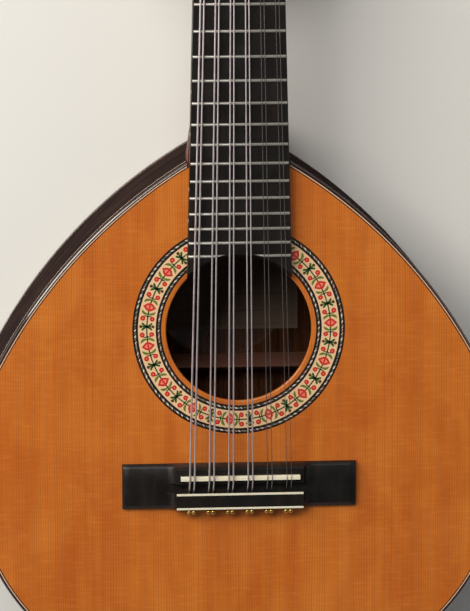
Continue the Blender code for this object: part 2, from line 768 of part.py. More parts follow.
def fret_profile():
    """Half-round crown above the board, with a tang below its surface."""
    seat = 0.1 * MM
    crown = [
        (FRET_WIDTH / 2 * math.cos(a), (FRET_HEIGHT + seat) * math.sin(a) - seat)
        for a in np.linspace(0, math.pi, 5)
    ]
    tang = FRET_WIDTH / 5
    return crown + [(-tang, -FRET_SUNK), (tang, -FRET_SUNK)]


def fingerboard():
    """Board and frets in one solid, the end cut to a circle just outside the soundhole."""
    end_y = HOLE_Y + HOLE_RADIUS / 2
    shape = [
        (board_half_width(end_y), end_y),
        (board_half_width(SCALE_LENGTH), SCALE_LENGTH),
        (-board_half_width(SCALE_LENGTH), SCALE_LENGTH),
        (-board_half_width(end_y), end_y),
    ]
    board = prism("fingerboard", [shape], BODY_DEPTH + GAP, BOARD_TOP, EBONY)
    for number in range(1, FRET_COUNT + 1):
        y = fret_y(number)
        half = board_half_width(y) - FRET_SIDE_MARGIN
        axes = Matrix.Translation((0, y, BOARD_TOP)) @ ALONG_X
        fret = prism(f"fret_{number}", [fret_profile()], -half, half, None, axes)
        boolean(board, fret, "UNION")
    end_radius = HOLE_RADIUS + BOARD_END_MARGIN
    height = BOARD_THICKNESS * 4
    matrix = Matrix.Translation((0, HOLE_Y, BOARD_TOP))
    end = rods("board_end", [matrix], end_radius, height, 2 * ROUND_STEPS)
    boolean(board, end, "DIFFERENCE")
    return bake(board, "fingerboard", EBONY)


def string_places():
    """(number, radius, x at the nut, x at the saddle) for each string, bass side first."""
    places = []
    for course in range(COURSES):
        offset = course - (COURSES - 1) / 2
        for pair in (-0.5, 0.5):
            number = len(places) + 1
            nut_x = offset * COURSE_SPACING_NUT + pair * PAIR_SPACING_NUT
            saddle_x = offset * COURSE_SPACING_SADDLE + pair * PAIR_SPACING_SADDLE
            places.append((number, COURSE_RADII[course], nut_x, saddle_x))
    return places


def nut():
    half = board_half_width(SCALE_LENGTH)
    front = SCALE_LENGTH + GAP
    rear = front + NUT_THICKNESS
    top = NUT_SLOT_TOP + NUT_EDGE_HEIGHT
    block = boxes("nut", [((-half, front, BODY_DEPTH), (half, rear, top))], BONE)
    slots = []
    for _, radius, x, _ in string_places():
        room = radius + STRING_CLEARANCE
        low = (x - room, front - MM, NUT_SLOT_TOP)
        slots.append((low, (x + room, rear + MM, top + MM)))
    boolean(block, boxes("nut_slots", slots), "DIFFERENCE")
    return bake(block, "nut", BONE)


def bridge():
    ridge_front = (BRIDGE_FRONT_Y + SADDLE_THICKNESS) / 2
    chamfer = MM
    block_face = [
        (BRIDGE_REAR_Y, 0),
        (BRIDGE_FRONT_Y, 0),
        (BRIDGE_FRONT_Y, BRIDGE_WING_HEIGHT),
        (ridge_front + chamfer, BRIDGE_RIDGE_HEIGHT - chamfer),
        (ridge_front, BRIDGE_RIDGE_HEIGHT),
        (BRIDGE_RIDGE_REAR_Y, BRIDGE_RIDGE_HEIGHT),
        (BRIDGE_RIDGE_REAR_Y - chamfer, BRIDGE_TROUGH_HEIGHT),
        (TIE_BLOCK_FRONT_Y, BRIDGE_TROUGH_HEIGHT),
        (TIE_BLOCK_FRONT_Y, TIE_BLOCK_HEIGHT),
        (BRIDGE_REAR_Y + chamfer, TIE_BLOCK_HEIGHT),
        (BRIDGE_REAR_Y, TIE_BLOCK_HEIGHT - chamfer),
    ]
    wing_face = [
        (BRIDGE_REAR_Y, 0),
        (BRIDGE_FRONT_Y, 0),
        (BRIDGE_FRONT_Y, BRIDGE_WING_HEIGHT / 2),
        (BRIDGE_FRONT_Y - 2 * chamfer, BRIDGE_WING_HEIGHT),
        (BRIDGE_REAR_Y + 2 * chamfer, BRIDGE_WING_HEIGHT),
        (BRIDGE_REAR_Y, BRIDGE_WING_HEIGHT / 2),
    ]
    on_top = Matrix.Translation((0, 0, BODY_DEPTH + GAP))
    half = BRIDGE_BLOCK_LENGTH / 2
    block = prism("bridge", [block_face], -half, half, EBONY, on_top @ ALONG_X)
    reach = BRIDGE_LENGTH / 2
    wings = prism("bridge_wings", [wing_face], -reach, reach, None, on_top @ ALONG_X)
    boolean(block, wings, "UNION")
    room = SADDLE_THICKNESS / 2 + GAP
    floor = BODY_DEPTH + BRIDGE_RIDGE_HEIGHT - SADDLE_SLOT_DEPTH
    slot_half = SADDLE_LENGTH / 2 + GAP
    slot = ((-slot_half, -room, floor), (slot_half, room, BODY_DEPTH + 2 * BRIDGE_RIDGE_HEIGHT))
    boolean(block, boxes("saddle_slot", [slot]), "DIFFERENCE")
    middle = (TIE_BLOCK_FRONT_Y + BRIDGE_REAR_Y) / 2
    length = TIE_BLOCK_FRONT_Y - BRIDGE_REAR_Y + 2 * MM
    holes = [
        Matrix.Translation((x, middle, BODY_DEPTH + TIE_HOLE_HEIGHT)) @ ALONG_Y
        for _, _, _, x in string_places()
    ]
    boolean(block, rods("tie_holes", holes, TIE_HOLE_RADIUS, length, 6), "DIFFERENCE")
    return bake(block, "bridge", EBONY)


def saddle():
    half = SADDLE_THICKNESS / 2
    low = BODY_DEPTH + BRIDGE_RIDGE_HEIGHT - SADDLE_SLOT_DEPTH + GAP
    face = [
        (-half, low),
        (half, low),
        (half, SADDLE_TOP - half),
        (half / 2, SADDLE_TOP),
        (-half, SADDLE_TOP),
    ]
    reach = SADDLE_LENGTH / 2
    return prism("saddle", [face], -reach, reach, BONE, ALONG_X)


# Tuners, modelled in the frame of the sloping head


def gear_outline(turn):
    """Teeth of straight flanks, narrower at the tip than at the root."""
    pitch_angle = 2 * math.pi / GEAR_TEETH
    tip = GEAR_MODULE_RADIUS + GEAR_TIP_HEIGHT
    root = GEAR_MODULE_RADIUS - GEAR_ROOT_DEPTH
    half_tip = pitch_angle * GEAR_TOOTH_SHARE / 3
    half_root = pitch_angle * GEAR_TOOTH_SHARE * 0.75
    points = []
    for tooth in range(GEAR_TEETH):
        middle = math.pi / 2 + tooth * pitch_angle + turn
        for radius, offset in ((root, -half_root), (tip, -half_tip), (tip, half_tip), (root, half_root)):
            angle = middle + offset
            points.append((radius * math.cos(angle), radius * math.sin(angle)))
    return points


def post_mesh():
    """Post with its gear, the axis along Z and the head's face at z = 0."""
    collar = POST_RADIUS + 0.6 * MM
    gear_top = GEAR_Z + GEAR_THICKNESS / 2
    screw_head = POST_RADIUS - 0.7 * MM
    screw_bottom = gear_top - GEAR_THICKNESS - 1.2 * MM
    waist = POST_RADIUS - 0.5 * MM
    top = VENEER_TOP + POST_HEIGHT
    hole_z = VENEER_TOP + STRING_HOLE_HEIGHT
    profile = [
        (0, top),
        (POST_RADIUS, top),
        (POST_RADIUS, hole_z + 2.5 * MM),
        (waist, hole_z + 1.5 * MM),
        (waist, hole_z - 2 * MM),
        (POST_RADIUS, hole_z - 3 * MM),
        (POST_RADIUS, PLATE_UNDERSIDE - GAP),
        (collar, PLATE_UNDERSIDE - GAP),
        (collar, gear_top - 0.2 * MM),
        (screw_head, gear_top - 0.2 * MM),
        (screw_head, screw_bottom),
        (0, screw_bottom),
    ]
    post = turned("post_prototype", profile, POST_STEPS, NICKEL)
    lead_angle = math.atan(WORM_LEAD / (2 * math.pi * WORM_PITCH_RADIUS))
    twist = GEAR_THICKNESS / 2 * math.tan(lead_angle) / GEAR_MODULE_RADIUS
    low = GEAR_Z - GEAR_THICKNESS / 2
    sections = []
    for z, turn in ((low, -twist), (low + GEAR_THICKNESS, twist)):
        sections.append([(x, y, z) for x, y in gear_outline(turn)])
    boolean(post, loft("gear_prototype", sections), "UNION")
    across = Matrix.Translation((0, 0, hole_z)) @ ALONG_Y
    boolean(post, rods("string_hole", [across], STRING_HOLE_RADIUS, 4 * POST_RADIUS, 6), "DIFFERENCE")
    return bake(post, "post_prototype", NICKEL)


def worm_thread():
    """The thread, a ridge wound as a helix about Z, its ends sunk in the core.

    It starts a quarter turn back, so that a groove faces the gear's middle tooth on the -Y side.
    """
    root = WORM_PITCH_RADIUS - WORM_ROOT_DEPTH
    inner = root - 0.3 * MM
    half_root = WORM_LEAD * WORM_THREAD_SHARE * 0.75
    half_tip = WORM_LEAD * WORM_THREAD_SHARE / 3
    steps = round((WORM_TURNS - 1) * WORM_STEPS)
    sections = []
    for i in range(steps + 1):
        angle = 2 * math.pi * (i / WORM_STEPS - (WORM_TURNS - 1) / 2)
        rise = WORM_LEAD * (angle / (2 * math.pi) - 1 / 4)
        fade = min(1.0, i / 2, (steps - i) / 2)
        tip = root + fade * (WORM_RADIUS - root) - (1 - fade) * 0.1 * MM
        ring = []
        for radius, offset in ((inner, -half_root), (tip, -half_tip), (tip, half_tip), (inner, half_root)):
            ring.append((radius * math.cos(angle), radius * math.sin(angle), rise + offset))
        sections.append(ring)
    return loft("thread_prototype", sections)


def key_mesh():
    """Worm, shaft and button on one axis along Z, the middle of the worm at z = 0."""
    root = WORM_PITCH_RADIUS - WORM_ROOT_DEPTH
    worm_half = WORM_LENGTH / 2
    stub = worm_half + GAP + LUG_THICKNESS
    inner = BUTTON_INNER_X - POST_ROW_X
    profile = [
        (0, inner + 3 * MM),
        (KEY_SHAFT_RADIUS, inner + 3 * MM),
        (KEY_SHAFT_RADIUS, worm_half),
        (root, worm_half),
        (root, -worm_half),
        (KEY_SHAFT_RADIUS, -worm_half),
        (KEY_SHAFT_RADIUS, -stub),
        (0, -stub),
    ]
    key = turned("key_prototype", profile, WORM_STEPS, NICKEL)
    boolean(key, worm_thread(), "UNION")
    boolean(key, key_button(), "UNION")
    return bake(key, "key_prototype", PEARLOID)


def key_button():
    """A flat oval paddle, fuller at its outer end."""
    inner = BUTTON_INNER_X - POST_ROW_X
    sections = []
    for share, width in ((0.0, 0.4), (0.3, 0.9), (0.65, 1.0), (0.92, 0.8), (1.0, 0.45)):
        z = inner + share * BUTTON_LENGTH
        thick = BUTTON_THICKNESS / 2 * (0.55 + 0.45 * math.sin(math.pi * min(share + 0.15, 1)))
        wide = BUTTON_WIDTH / 2 * width
        sections.append([
            (thick * math.cos(a), wide * math.sin(a), z)
            for a in np.linspace(0, 2 * math.pi, WORM_STEPS, endpoint=False)
        ])
    return loft("button_prototype", sections)


def key_matrix(side, along):
    """Axis of a key in the head's frame: its Z points outwards to the button."""
    outward = Matrix(((0, 0, side, 0), (0, 1, 0, 0), (-side, 0, 0, 0), (0, 0, 0, 1)))
    place_at = Matrix.Translation((side * POST_ROW_X, along + GEAR_CENTRE_DISTANCE, GEAR_Z))
    return place_at @ outward


def tuners():
    post = post_mesh()
    key = key_mesh()
    for side, number, along in tuner_places():
        new_post = place(f"post_{number:02d}", post.data, None, Matrix())
        new_post.parent = HEAD
        new_post.location = (side * POST_ROW_X, along, 0)
        new_key = place(f"key_{number:02d}", key.data, None, Matrix())
        new_key.parent = HEAD
        new_key.matrix_local = key_matrix(side, along)
        smooth(new_post)
        smooth(new_key)
    bpy.data.objects.remove(post, do_unlink=True)
    bpy.data.objects.remove(key, do_unlink=True)


def tuner_plate(side, name):
    """A flat plate under the head with two lugs for each key, drilled for posts and shafts."""
    first = FIRST_TUNER - PLATE_END_MARGIN
    last = FIRST_TUNER + (TUNERS_PER_SIDE - 1) * TUNER_PITCH + GEAR_CENTRE_DISTANCE + PLATE_END_MARGIN
    half = PLATE_WIDTH / 2
    low_x, high_x = side * POST_ROW_X - half, side * POST_ROW_X + half
    plate_low = (low_x, first, PLATE_UNDERSIDE)
    plate_high = (high_x, last, PLATE_UNDERSIDE + PLATE_THICKNESS)
    plate = boxes(name, [(plate_low, plate_high)], NICKEL)
    lug_offset = WORM_LENGTH / 2 + GAP + LUG_THICKNESS / 2
    lug_bottom = GEAR_Z - KEY_SHAFT_RADIUS - 1.6 * MM
    lug_limits = []
    matrices = []
    for row in range(TUNERS_PER_SIDE):
        y = FIRST_TUNER + row * TUNER_PITCH + GEAR_CENTRE_DISTANCE
        matrices.append(Matrix.Translation((side * POST_ROW_X, y, GEAR_Z)) @ ALONG_X)
        for offset in (-lug_offset, lug_offset):
            x = side * POST_ROW_X + offset
            low = (x - LUG_THICKNESS / 2, y - LUG_WIDTH / 2, lug_bottom)
            high = (x + LUG_THICKNESS / 2, y + LUG_WIDTH / 2, PLATE_UNDERSIDE + PLATE_THICKNESS / 2)
            lug_limits.append((low, high))
    boolean(plate, boxes(name + "_lugs", lug_limits), "UNION")
    bore = KEY_SHAFT_RADIUS + GAP
    span = WORM_LENGTH + 4 * LUG_THICKNESS
    boolean(plate, rods(name + "_bores", matrices, bore, span, WORM_STEPS), "DIFFERENCE")
    boolean(plate, post_holes(name + "_holes"), "DIFFERENCE")
    plate = bake(plate, name, NICKEL)
    plate.matrix_world = HEAD_FRAME @ plate.matrix_world
    return plate


# Strings


def string_route(number, radius, nut_x, saddle_x):
    """Tie block, saddle, nut and the near side of the post, as the string's centre line."""
    saddle_z = SADDLE_TOP + GAP + radius
    nut_z = NUT_SLOT_TOP + GAP + radius
    tie_z = BODY_DEPTH + TIE_HOLE_HEIGHT
    saddle_rear = -SADDLE_THICKNESS / 2 - radius / 2
    side, along = [(s, a) for s, n, a in tuner_places() if n == number][0]
    barrel = POST_RADIUS + GAP + radius
    post_end = HEAD_FRAME @ Vector(
        (side * (POST_ROW_X - barrel), along, VENEER_TOP + STRING_HOLE_HEIGHT)
    )
    return [
        Vector((saddle_x, BRIDGE_REAR_Y - MM, tie_z)),
        Vector((saddle_x, TIE_BLOCK_FRONT_Y + radius, tie_z)),
        Vector((saddle_x, saddle_rear, saddle_z)),
        Vector((nut_x, HEAD_Y, nut_z)),
        post_end,
    ]


def rounded_route(points, length=1.2 * MM):
    """The route with each bend opened into two points, so that the wire keeps its thickness."""
    route = [points[0]]
    for before, corner, after in zip(points, points[1:], points[2:]):
        route.append(corner + (before - corner).normalized() * length / 2)
        route.append(corner + (after - corner).normalized() * length / 2)
    return route + [points[-1]]


def strings():
    for number, radius, nut_x, saddle_x in string_places():
        name = f"string_{number:02d}"
        route = rounded_route(string_route(number, radius, nut_x, saddle_x))
        curve = bpy.data.curves.new(name, "CURVE")
        curve.dimensions = "3D"
        curve.bevel_depth = radius
        curve.bevel_resolution = 2
        curve.use_fill_caps = True
        spline = curve.splines.new("POLY")
        spline.points.add(len(route) - 1)
        for point, place_at in zip(spline.points, route):
            point.co = (*place_at, 1)
        wire = bpy.data.objects.new(name, curve)
        PARTS.objects.link(wire)
        wound = radius > COURSE_RADII[-2]
        smooth(bake(wire, name, WOUND_STEEL if wound else PLAIN_STEEL))


# Frames that carry the pieces

HEAD = bpy.data.objects.new("head_frame", None)
PARTS.objects.link(HEAD)
HEAD.matrix_world = HEAD_FRAME
BODY = bpy.data.objects.new("body_frame", None)
PARTS.objects.link(BODY)

soundboard()
rosette()
back_plate()
ribs()
bindings()
linings()
end_block()
bars()
label()
neck()
head_veneer()
fingerboard()
nut()
bridge()
saddle()
strings()
tuners()
tuner_plate(-1, "tuner_plate_left")
tuner_plate(1, "tuner_plate_right")

for piece in list(PARTS.objects):
    if piece.parent is None and piece is not BODY:
        piece.parent = BODY
BODY.location = (0, -CENTRE_Y, 0)
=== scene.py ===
"""A twelve-string bandurria on its back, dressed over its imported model."""

import math
import random

import bmesh
import bpy
from mathutils import Matrix, Vector


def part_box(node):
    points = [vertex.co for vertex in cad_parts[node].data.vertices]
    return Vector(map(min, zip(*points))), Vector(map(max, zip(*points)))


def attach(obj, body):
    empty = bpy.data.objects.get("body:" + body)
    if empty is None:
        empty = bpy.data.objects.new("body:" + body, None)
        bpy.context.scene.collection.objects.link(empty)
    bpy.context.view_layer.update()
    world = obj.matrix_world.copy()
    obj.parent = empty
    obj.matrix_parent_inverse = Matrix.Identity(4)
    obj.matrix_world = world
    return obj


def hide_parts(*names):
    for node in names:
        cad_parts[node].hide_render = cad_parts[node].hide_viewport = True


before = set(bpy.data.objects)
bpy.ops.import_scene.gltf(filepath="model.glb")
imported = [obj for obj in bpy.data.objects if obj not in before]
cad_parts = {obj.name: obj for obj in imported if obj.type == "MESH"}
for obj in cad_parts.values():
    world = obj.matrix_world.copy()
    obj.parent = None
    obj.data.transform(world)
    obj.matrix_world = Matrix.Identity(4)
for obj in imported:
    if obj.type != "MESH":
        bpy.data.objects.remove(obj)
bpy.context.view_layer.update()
MM = 0.001


# The studio
# A pale table top in soft light from both sides, under a dim ceiling, so that the flat glossy
# faces stay deep in colour and the light lies along the rounded edges, strings and frets.

def stain(code):
    """The linear colour of a hex code."""
    levels = [int(code[i:i + 2], 16) / 255 for i in (0, 2, 4)]
    linear = [v / 12.92 if v <= 0.04045 else ((v + 0.055) / 1.055) ** 2.4 for v in levels]
    return (*linear, 1)


def lay(tree, kind, settings=None, **sockets):
    """A node of this kind; each socket takes a value or another node's output."""
    node = tree.nodes.new("ShaderNode" + kind)
    for key, value in (settings or {}).items():
        setattr(node, key, value)
    for key, value in sockets.items():
        numbered = key[0] == "i" and key[1:].isdigit()
        socket = node.inputs[int(key[1:]) if numbered else key.replace("_", " ")]
        if isinstance(value, bpy.types.NodeSocket):
            tree.links.new(value, socket)
        else:
            socket.default_value = value
    return node


def join(tree, output, socket):
    tree.links.new(output, socket)


def place_of(tree):
    """Where a point lies on the instrument, in metres."""
    return tree.nodes.new("ShaderNodeTexCoord").outputs["Object"]


def noise(tree, place, scale, detail, **more):
    """Soft patches of every value between 0 and 1."""
    return lay(tree, "TexNoise", Vector=place, Scale=scale, Detail=detail, **more).outputs["Fac"]


def spread(tree, value, low, high, new_low=0.0, new_high=1.0):
    """The value with the stretch from low to high drawn out to the new one."""
    return lay(tree, "MapRange", Value=value, From_Min=low, From_Max=high,
               To_Min=new_low, To_Max=new_high).outputs["Result"]


def blend(tree, share, first, second):
    """From one colour to another, each a hex code or another node's output."""
    first, second = [stain(end) if isinstance(end, str) else end for end in (first, second)]
    return lay(tree, "Mix", {"data_type": "RGBA"}, Factor=share, i6=first, i7=second).outputs[2]


def finish(name, **constants):
    """A new material with a Principled shader, whose plain sockets are set here."""
    material = bpy.data.materials.new(name)
    material.use_nodes = True
    shader = material.node_tree.nodes["Principled BSDF"]
    for key, value in constants.items():
        shader.inputs[key.replace("_", " ")].default_value = value
    return material, material.node_tree, shader


def stand(name, data):
    """A new object in the scene."""
    obj = bpy.data.objects.new(name, data)
    bpy.context.scene.collection.objects.link(obj)
    return obj


TABLE_HALF = 3.0
table_finish, tree, shader = finish("table_top", Roughness=0.8)
tone = spread(tree, noise(tree, place_of(tree), 2.5, 3.0), 0.0, 1.0, 0.97, 1.0)
pale = lay(tree, "Mix", {"data_type": "RGBA", "blend_type": "MULTIPLY"}, Factor=1.0,
           i6=stain("E9E8E5"), i7=tone)
join(tree, pale.outputs[2], shader.inputs["Base Color"])
table_mesh = bpy.data.meshes.new("table_top")
table_mesh.from_pydata([(x * TABLE_HALF, y * TABLE_HALF, 0) for x, y in (
    (-1, -1), (1, -1), (1, 1), (-1, 1))], [], [(0, 1, 2, 3)])
table_mesh.materials.append(table_finish)
table = stand("table_top", table_mesh)
table.location.z = -0.2 * MM


def lamp(name, place, aim, width, height, power, colour):
    light = bpy.data.lights.new(name, "AREA")
    light.shape = "RECTANGLE"
    light.size, light.size_y = width, height
    light.energy = power
    light.color = stain(colour)[:3]
    obj = stand(name, light)
    obj.location = place
    obj.rotation_euler = (Vector(aim) - Vector(place)).to_track_quat("-Z", "Y").to_euler()


lamp("window_left", (-1.28, 0.86, 1.25), (0, 0, 0.05), 0.7, 1.9, 38, "FFFAEE")
lamp("window_right", (1.6, 0.3, 1.15), (0, 0, 0.05), 0.6, 1.7, 2, "FFF6EA")
lamp("window_head", (-0.35, 1.2, 1.82), (0, -0.05, 0.05), 1.2, 0.5, 15, "FFFBF6")

world = bpy.data.worlds.new("studio")
bpy.context.scene.world = world
world.use_nodes = True
tree = world.node_tree
direction = tree.nodes.new("ShaderNodeTexCoord").outputs["Generated"]
parts = lay(tree, "SeparateXYZ", Vector=direction).outputs
horizon = blend(tree, spread(tree, parts["X"], -0.4, 0.8), "E6E5E3", "7A7A7E")
overhead = lay(tree, "MapRange", {"interpolation_type": "SMOOTHSTEP"}, Value=parts["Z"],
               From_Min=0.05, From_Max=0.85).outputs["Result"]
background = tree.nodes["Background"]
join(tree, blend(tree, overhead, horizon, "4E4E50"), background.inputs["Color"])
background.inputs["Strength"].default_value = 1.0
bpy.context.scene.view_settings.view_transform = "Standard"

# The camera stands high over the soundboard, a little to the bass side, with a long lens.
FOCAL_PIXELS, PICTURE_HEIGHT = 3835.54, 611
SADDLE_LOW, SADDLE_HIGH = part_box("saddle")
SADDLE_Y = (SADDLE_LOW.y + SADDLE_HIGH.y) / 2
camera_data = bpy.data.cameras.new("camera")
camera_data.lens = FOCAL_PIXELS * camera_data.sensor_width / PICTURE_HEIGHT
camera_data.clip_end = 20
camera = stand("camera", camera_data)
right = Vector((0.99669, -0.00138, 0.08126))
up = Vector((0.01494, 0.98593, -0.1665))
back = Vector((-0.07989, 0.16716, 0.98269))
camera_turn = Matrix((right, up, back)).transposed().to_4x4()
camera.matrix_world = Matrix.Translation((-0.16028, 0.42026 + SADDLE_Y, 2.01694)) @ camera_turn
bpy.context.scene.camera = camera


# Back plate and ribs
# The back is a flat plate of dark rosewood in two matched halves. The ribs are two strips of
# the same wood, bent on a hot iron, lacquered to a gloss and let into the neck block.

BODY_DEPTH = 70 * MM
GAP = 0.3 * MM
BODY_WIDTH = 278.45 * MM
WIDEST_Y = 3.3 * MM
BOUT_RADIUS = 117 * MM
SHOULDER_RADIUS = 269.8 * MM
TAIL_RADIUS = 160 * MM
JOINT_Y = 163.79 * MM
PLATE_END_Y = 160.99 * MM
BACK_END_Y = 166.84 * MM
PLATE_INSET = 2.5 * MM
PLATE_THICKNESS = 2.5 * MM
HEEL_HALF_WIDTH = 26.3 * MM
BOUT_X = BODY_WIDTH / 2 - BOUT_RADIUS
TAIL_CENTRE_Y = WIDEST_Y + math.sqrt((TAIL_RADIUS - BOUT_RADIUS) ** 2 - BOUT_X ** 2)
TAIL_ANGLE = math.atan2(WIDEST_Y - TAIL_CENTRE_Y, BOUT_X)
across = HEEL_HALF_WIDTH - BOUT_X
along = JOINT_Y - WIDEST_Y
reach = math.hypot(across, along)
between = SHOULDER_RADIUS - BOUT_RADIUS
SHOULDER_ANGLE = math.atan2(along, across) - math.acos(
    (SHOULDER_RADIUS ** 2 - between ** 2 - reach ** 2) / (2 * between * reach))
SHOULDER_X = BOUT_X - between * math.cos(SHOULDER_ANGLE)
SHOULDER_Y = WIDEST_Y - between * math.sin(SHOULDER_ANGLE)


def sweep(centre_x, centre_y, radius, start, end, steps):
    """Points along an arc, both ends among them."""
    turn = (end - start) / steps
    return [(centre_x + radius * math.cos(start + i * turn),
             centre_y + radius * math.sin(start + i * turn)) for i in range(steps + 1)]


def half_line(inset, end_y=None, end_x=None):
    """The right half of the body's line, moved in by the inset, from the neck to the tail."""
    radius = SHOULDER_RADIUS - inset
    start = 0
    if end_y is not None:
        start = max(start, math.asin((end_y - SHOULDER_Y) / radius))
    if end_x is not None:
        start = max(start, math.acos((end_x - SHOULDER_X) / radius))
    points = sweep(SHOULDER_X, SHOULDER_Y, radius, start, SHOULDER_ANGLE, 44)
    points += sweep(BOUT_X, WIDEST_Y, BOUT_RADIUS - inset, SHOULDER_ANGLE, TAIL_ANGLE, 54)[1:]
    points += sweep(0, TAIL_CENTRE_Y, TAIL_RADIUS - inset, TAIL_ANGLE, -math.pi / 2, 22)[1:]
    return points


def mirror(points):
    return [(-x, y) for x, y in reversed(points)]


def body_line(inset, **ends):
    """The whole line, from the neck round the tail and back to the neck."""
    right_half = half_line(inset, **ends)
    return right_half + mirror(right_half)[1:]


def fit(name, data, material, body="instrument", matrix=None, stands_for=None, slot=None,
        smooth=35):
    """Puts a made piece in its place, gives it its finish and fastens it to its body."""
    obj = stand(name, data)
    if data.users == 1:
        data.name = name
    if matrix is not None:
        obj.matrix_world = matrix
    data.materials.clear()
    data.materials.append(material)
    if smooth:
        data.shade_smooth()
        data.set_sharp_from_angle(angle=math.radians(smooth))
    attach(obj, body)
    if stands_for:
        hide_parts(stands_for)
    return obj


def outwards(work, mesh):
    """Writes the worked shape to the mesh, all its faces turned outwards."""
    bmesh.ops.recalc_face_normals(work, faces=work.faces)
    work.to_mesh(mesh)
    work.free()
    return mesh


def skin(points, faces, shift=True):
    """A closed mesh; its points are measured from the saddle, or unshifted from the origin."""
    offset = Vector((0, SADDLE_Y if shift else 0, 0))
    work = bmesh.new()
    corners = [work.verts.new(Vector(p) + offset) for p in points]
    for face in faces:
        work.faces.new([corners[i] for i in face])
    return outwards(work, bpy.data.meshes.new("piece"))


def wall(low, high, count):
    """The faces between two rings of points, by the number of each ring's first point."""
    steps = [(i, (i + 1) % count) for i in range(count)]
    return [(low + i, low + j, high + j, high + i) for i, j in steps]


def loft(sections, shift=True):
    """A closed skin through rings of equal point counts, capped at both ends."""
    count = len(sections[0])
    points = [p for ring in sections for p in ring]
    faces = [list(range(count)), list(range(len(points) - count, len(points)))]
    for low in range(0, len(points) - count, count):
        faces += wall(low, low + count, count)
    return skin(points, faces, shift)


def draw(curve, points):
    """Adds a line through these points to the curve."""
    line = curve.splines.new("POLY")
    line.points.add(len(points) - 1)
    for point, place in zip(line.points, points):
        point.co = (*place, 1)
    return line


def realised(obj, *helpers):
    """The mesh that the object comes to with all its modifiers; the objects themselves go."""
    bpy.context.view_layer.update()
    depsgraph = bpy.context.evaluated_depsgraph_get()
    mesh = bpy.data.meshes.new_from_object(obj.evaluated_get(depsgraph))
    for spent in (obj, *helpers):
        bpy.data.objects.remove(spent)
    return mesh


def plate(loops, low, high, axes=Matrix(), shift=True):
    """A flat board cut along the first loop, with the others as holes."""
    curve = bpy.data.curves.new("outline", "CURVE")
    curve.dimensions = "2D"
    curve.fill_mode = "BOTH"
    curve.extrude = (high - low) / 2
    for loop in loops:
        draw(curve, [(x, y, 0) for x, y in loop]).use_cyclic_u = True
    mesh = realised(stand("outline", curve))
    offset = Matrix.Translation((0, SADDLE_Y if shift else 0, 0))
    mesh.transform(offset @ axes @ Matrix.Translation((0, 0, (low + high) / 2)))
    work = bmesh.new()
    work.from_mesh(mesh)
    bmesh.ops.remove_doubles(work, verts=work.verts, dist=0.001 * MM)
    return outwards(work, mesh)


def new_effect(name, inputs, outputs):
    """A node group that takes a place and these inputs with their usual values, and its ends."""
    tree = bpy.data.node_groups.new(name, "ShaderNodeTree")
    new = tree.interface.new_socket
    new("Place", in_out="INPUT", socket_type="NodeSocketVector")
    for label, value in inputs.items():
        new(label, in_out="INPUT", socket_type="NodeSocketFloat").default_value = value
    for label in outputs:
        new(label, in_out="OUTPUT", socket_type="NodeSocketFloat")
    return tree, tree.nodes.new("NodeGroupInput").outputs, tree.nodes.new("NodeGroupOutput").inputs


def effect(tree, group, **sockets):
    return lay(tree, "Group", {"node_tree": group}, **sockets).outputs


def maths(tree, operation, a, b=0.5):
    return lay(tree, "Math", {"operation": operation}, i0=a, i1=b).outputs[0]


def times(tree, a, b):
    return maths(tree, "MULTIPLY", a, b)


def stretch(tree, place, by):
    """The place with its axes stretched."""
    return lay(tree, "VectorMath", {"operation": "MULTIPLY"}, i0=place, i1=by).outputs[0]


# Grain takes a place whose X runs across the grain and Y along it.
GRAIN, given, out = new_effect(
    "wood_grain", {"Ring Width": 0.0012, "Waviness": 1.0, "Streak Width": 0.012,
                   "Pore Length": 0.006}, ("Rings", "Streaks", "Pores", "Silk"))
parts = lay(GRAIN, "SeparateXYZ", Vector=given["Place"]).outputs
drift = noise(GRAIN, stretch(GRAIN, given["Place"], (30, 5, 30)), 1.0, 2.0)
wobble = times(GRAIN, times(GRAIN, drift, 9.0), given["Waviness"])
rings = maths(GRAIN, "ADD", maths(GRAIN, "DIVIDE", parts["X"], given["Ring Width"]), wobble)
late = maths(GRAIN, "POWER", maths(GRAIN, "FRACT", rings), 2.2)
chance = lay(GRAIN, "TexWhiteNoise", {"noise_dimensions": "1D"}, W=maths(GRAIN, "FLOOR", rings))
strength = spread(GRAIN, chance.outputs["Value"], 0.0, 1.0, 0.4, 1.0)
join(GRAIN, times(GRAIN, late, strength), out["Rings"])
wide = maths(GRAIN, "DIVIDE", 1.0, given["Streak Width"])
streak_place = lay(GRAIN, "CombineXYZ", X=times(GRAIN, parts["X"], wide),
                   Y=times(GRAIN, parts["Y"], times(GRAIN, wide, 0.06)),
                   Z=times(GRAIN, parts["Z"], times(GRAIN, wide, 0.3))).outputs[0]
join(GRAIN, noise(GRAIN, streak_place, 1.0, 4.0, Roughness=0.62), out["Streaks"])
pore_place = lay(GRAIN, "CombineXYZ", X=times(GRAIN, parts["X"], 2600.0),
                 Y=maths(GRAIN, "DIVIDE", parts["Y"], given["Pore Length"]),
                 Z=times(GRAIN, parts["Z"], 600.0)).outputs[0]
join(GRAIN, spread(GRAIN, noise(GRAIN, pore_place, 1.0, 1.0), 0.60, 0.70), out["Pores"])
silk_place = stretch(GRAIN, given["Place"], (85, 850, 85))
join(GRAIN, spread(GRAIN, noise(GRAIN, silk_place, 1.0, 2.0), 0.5, 0.75), out["Silk"])

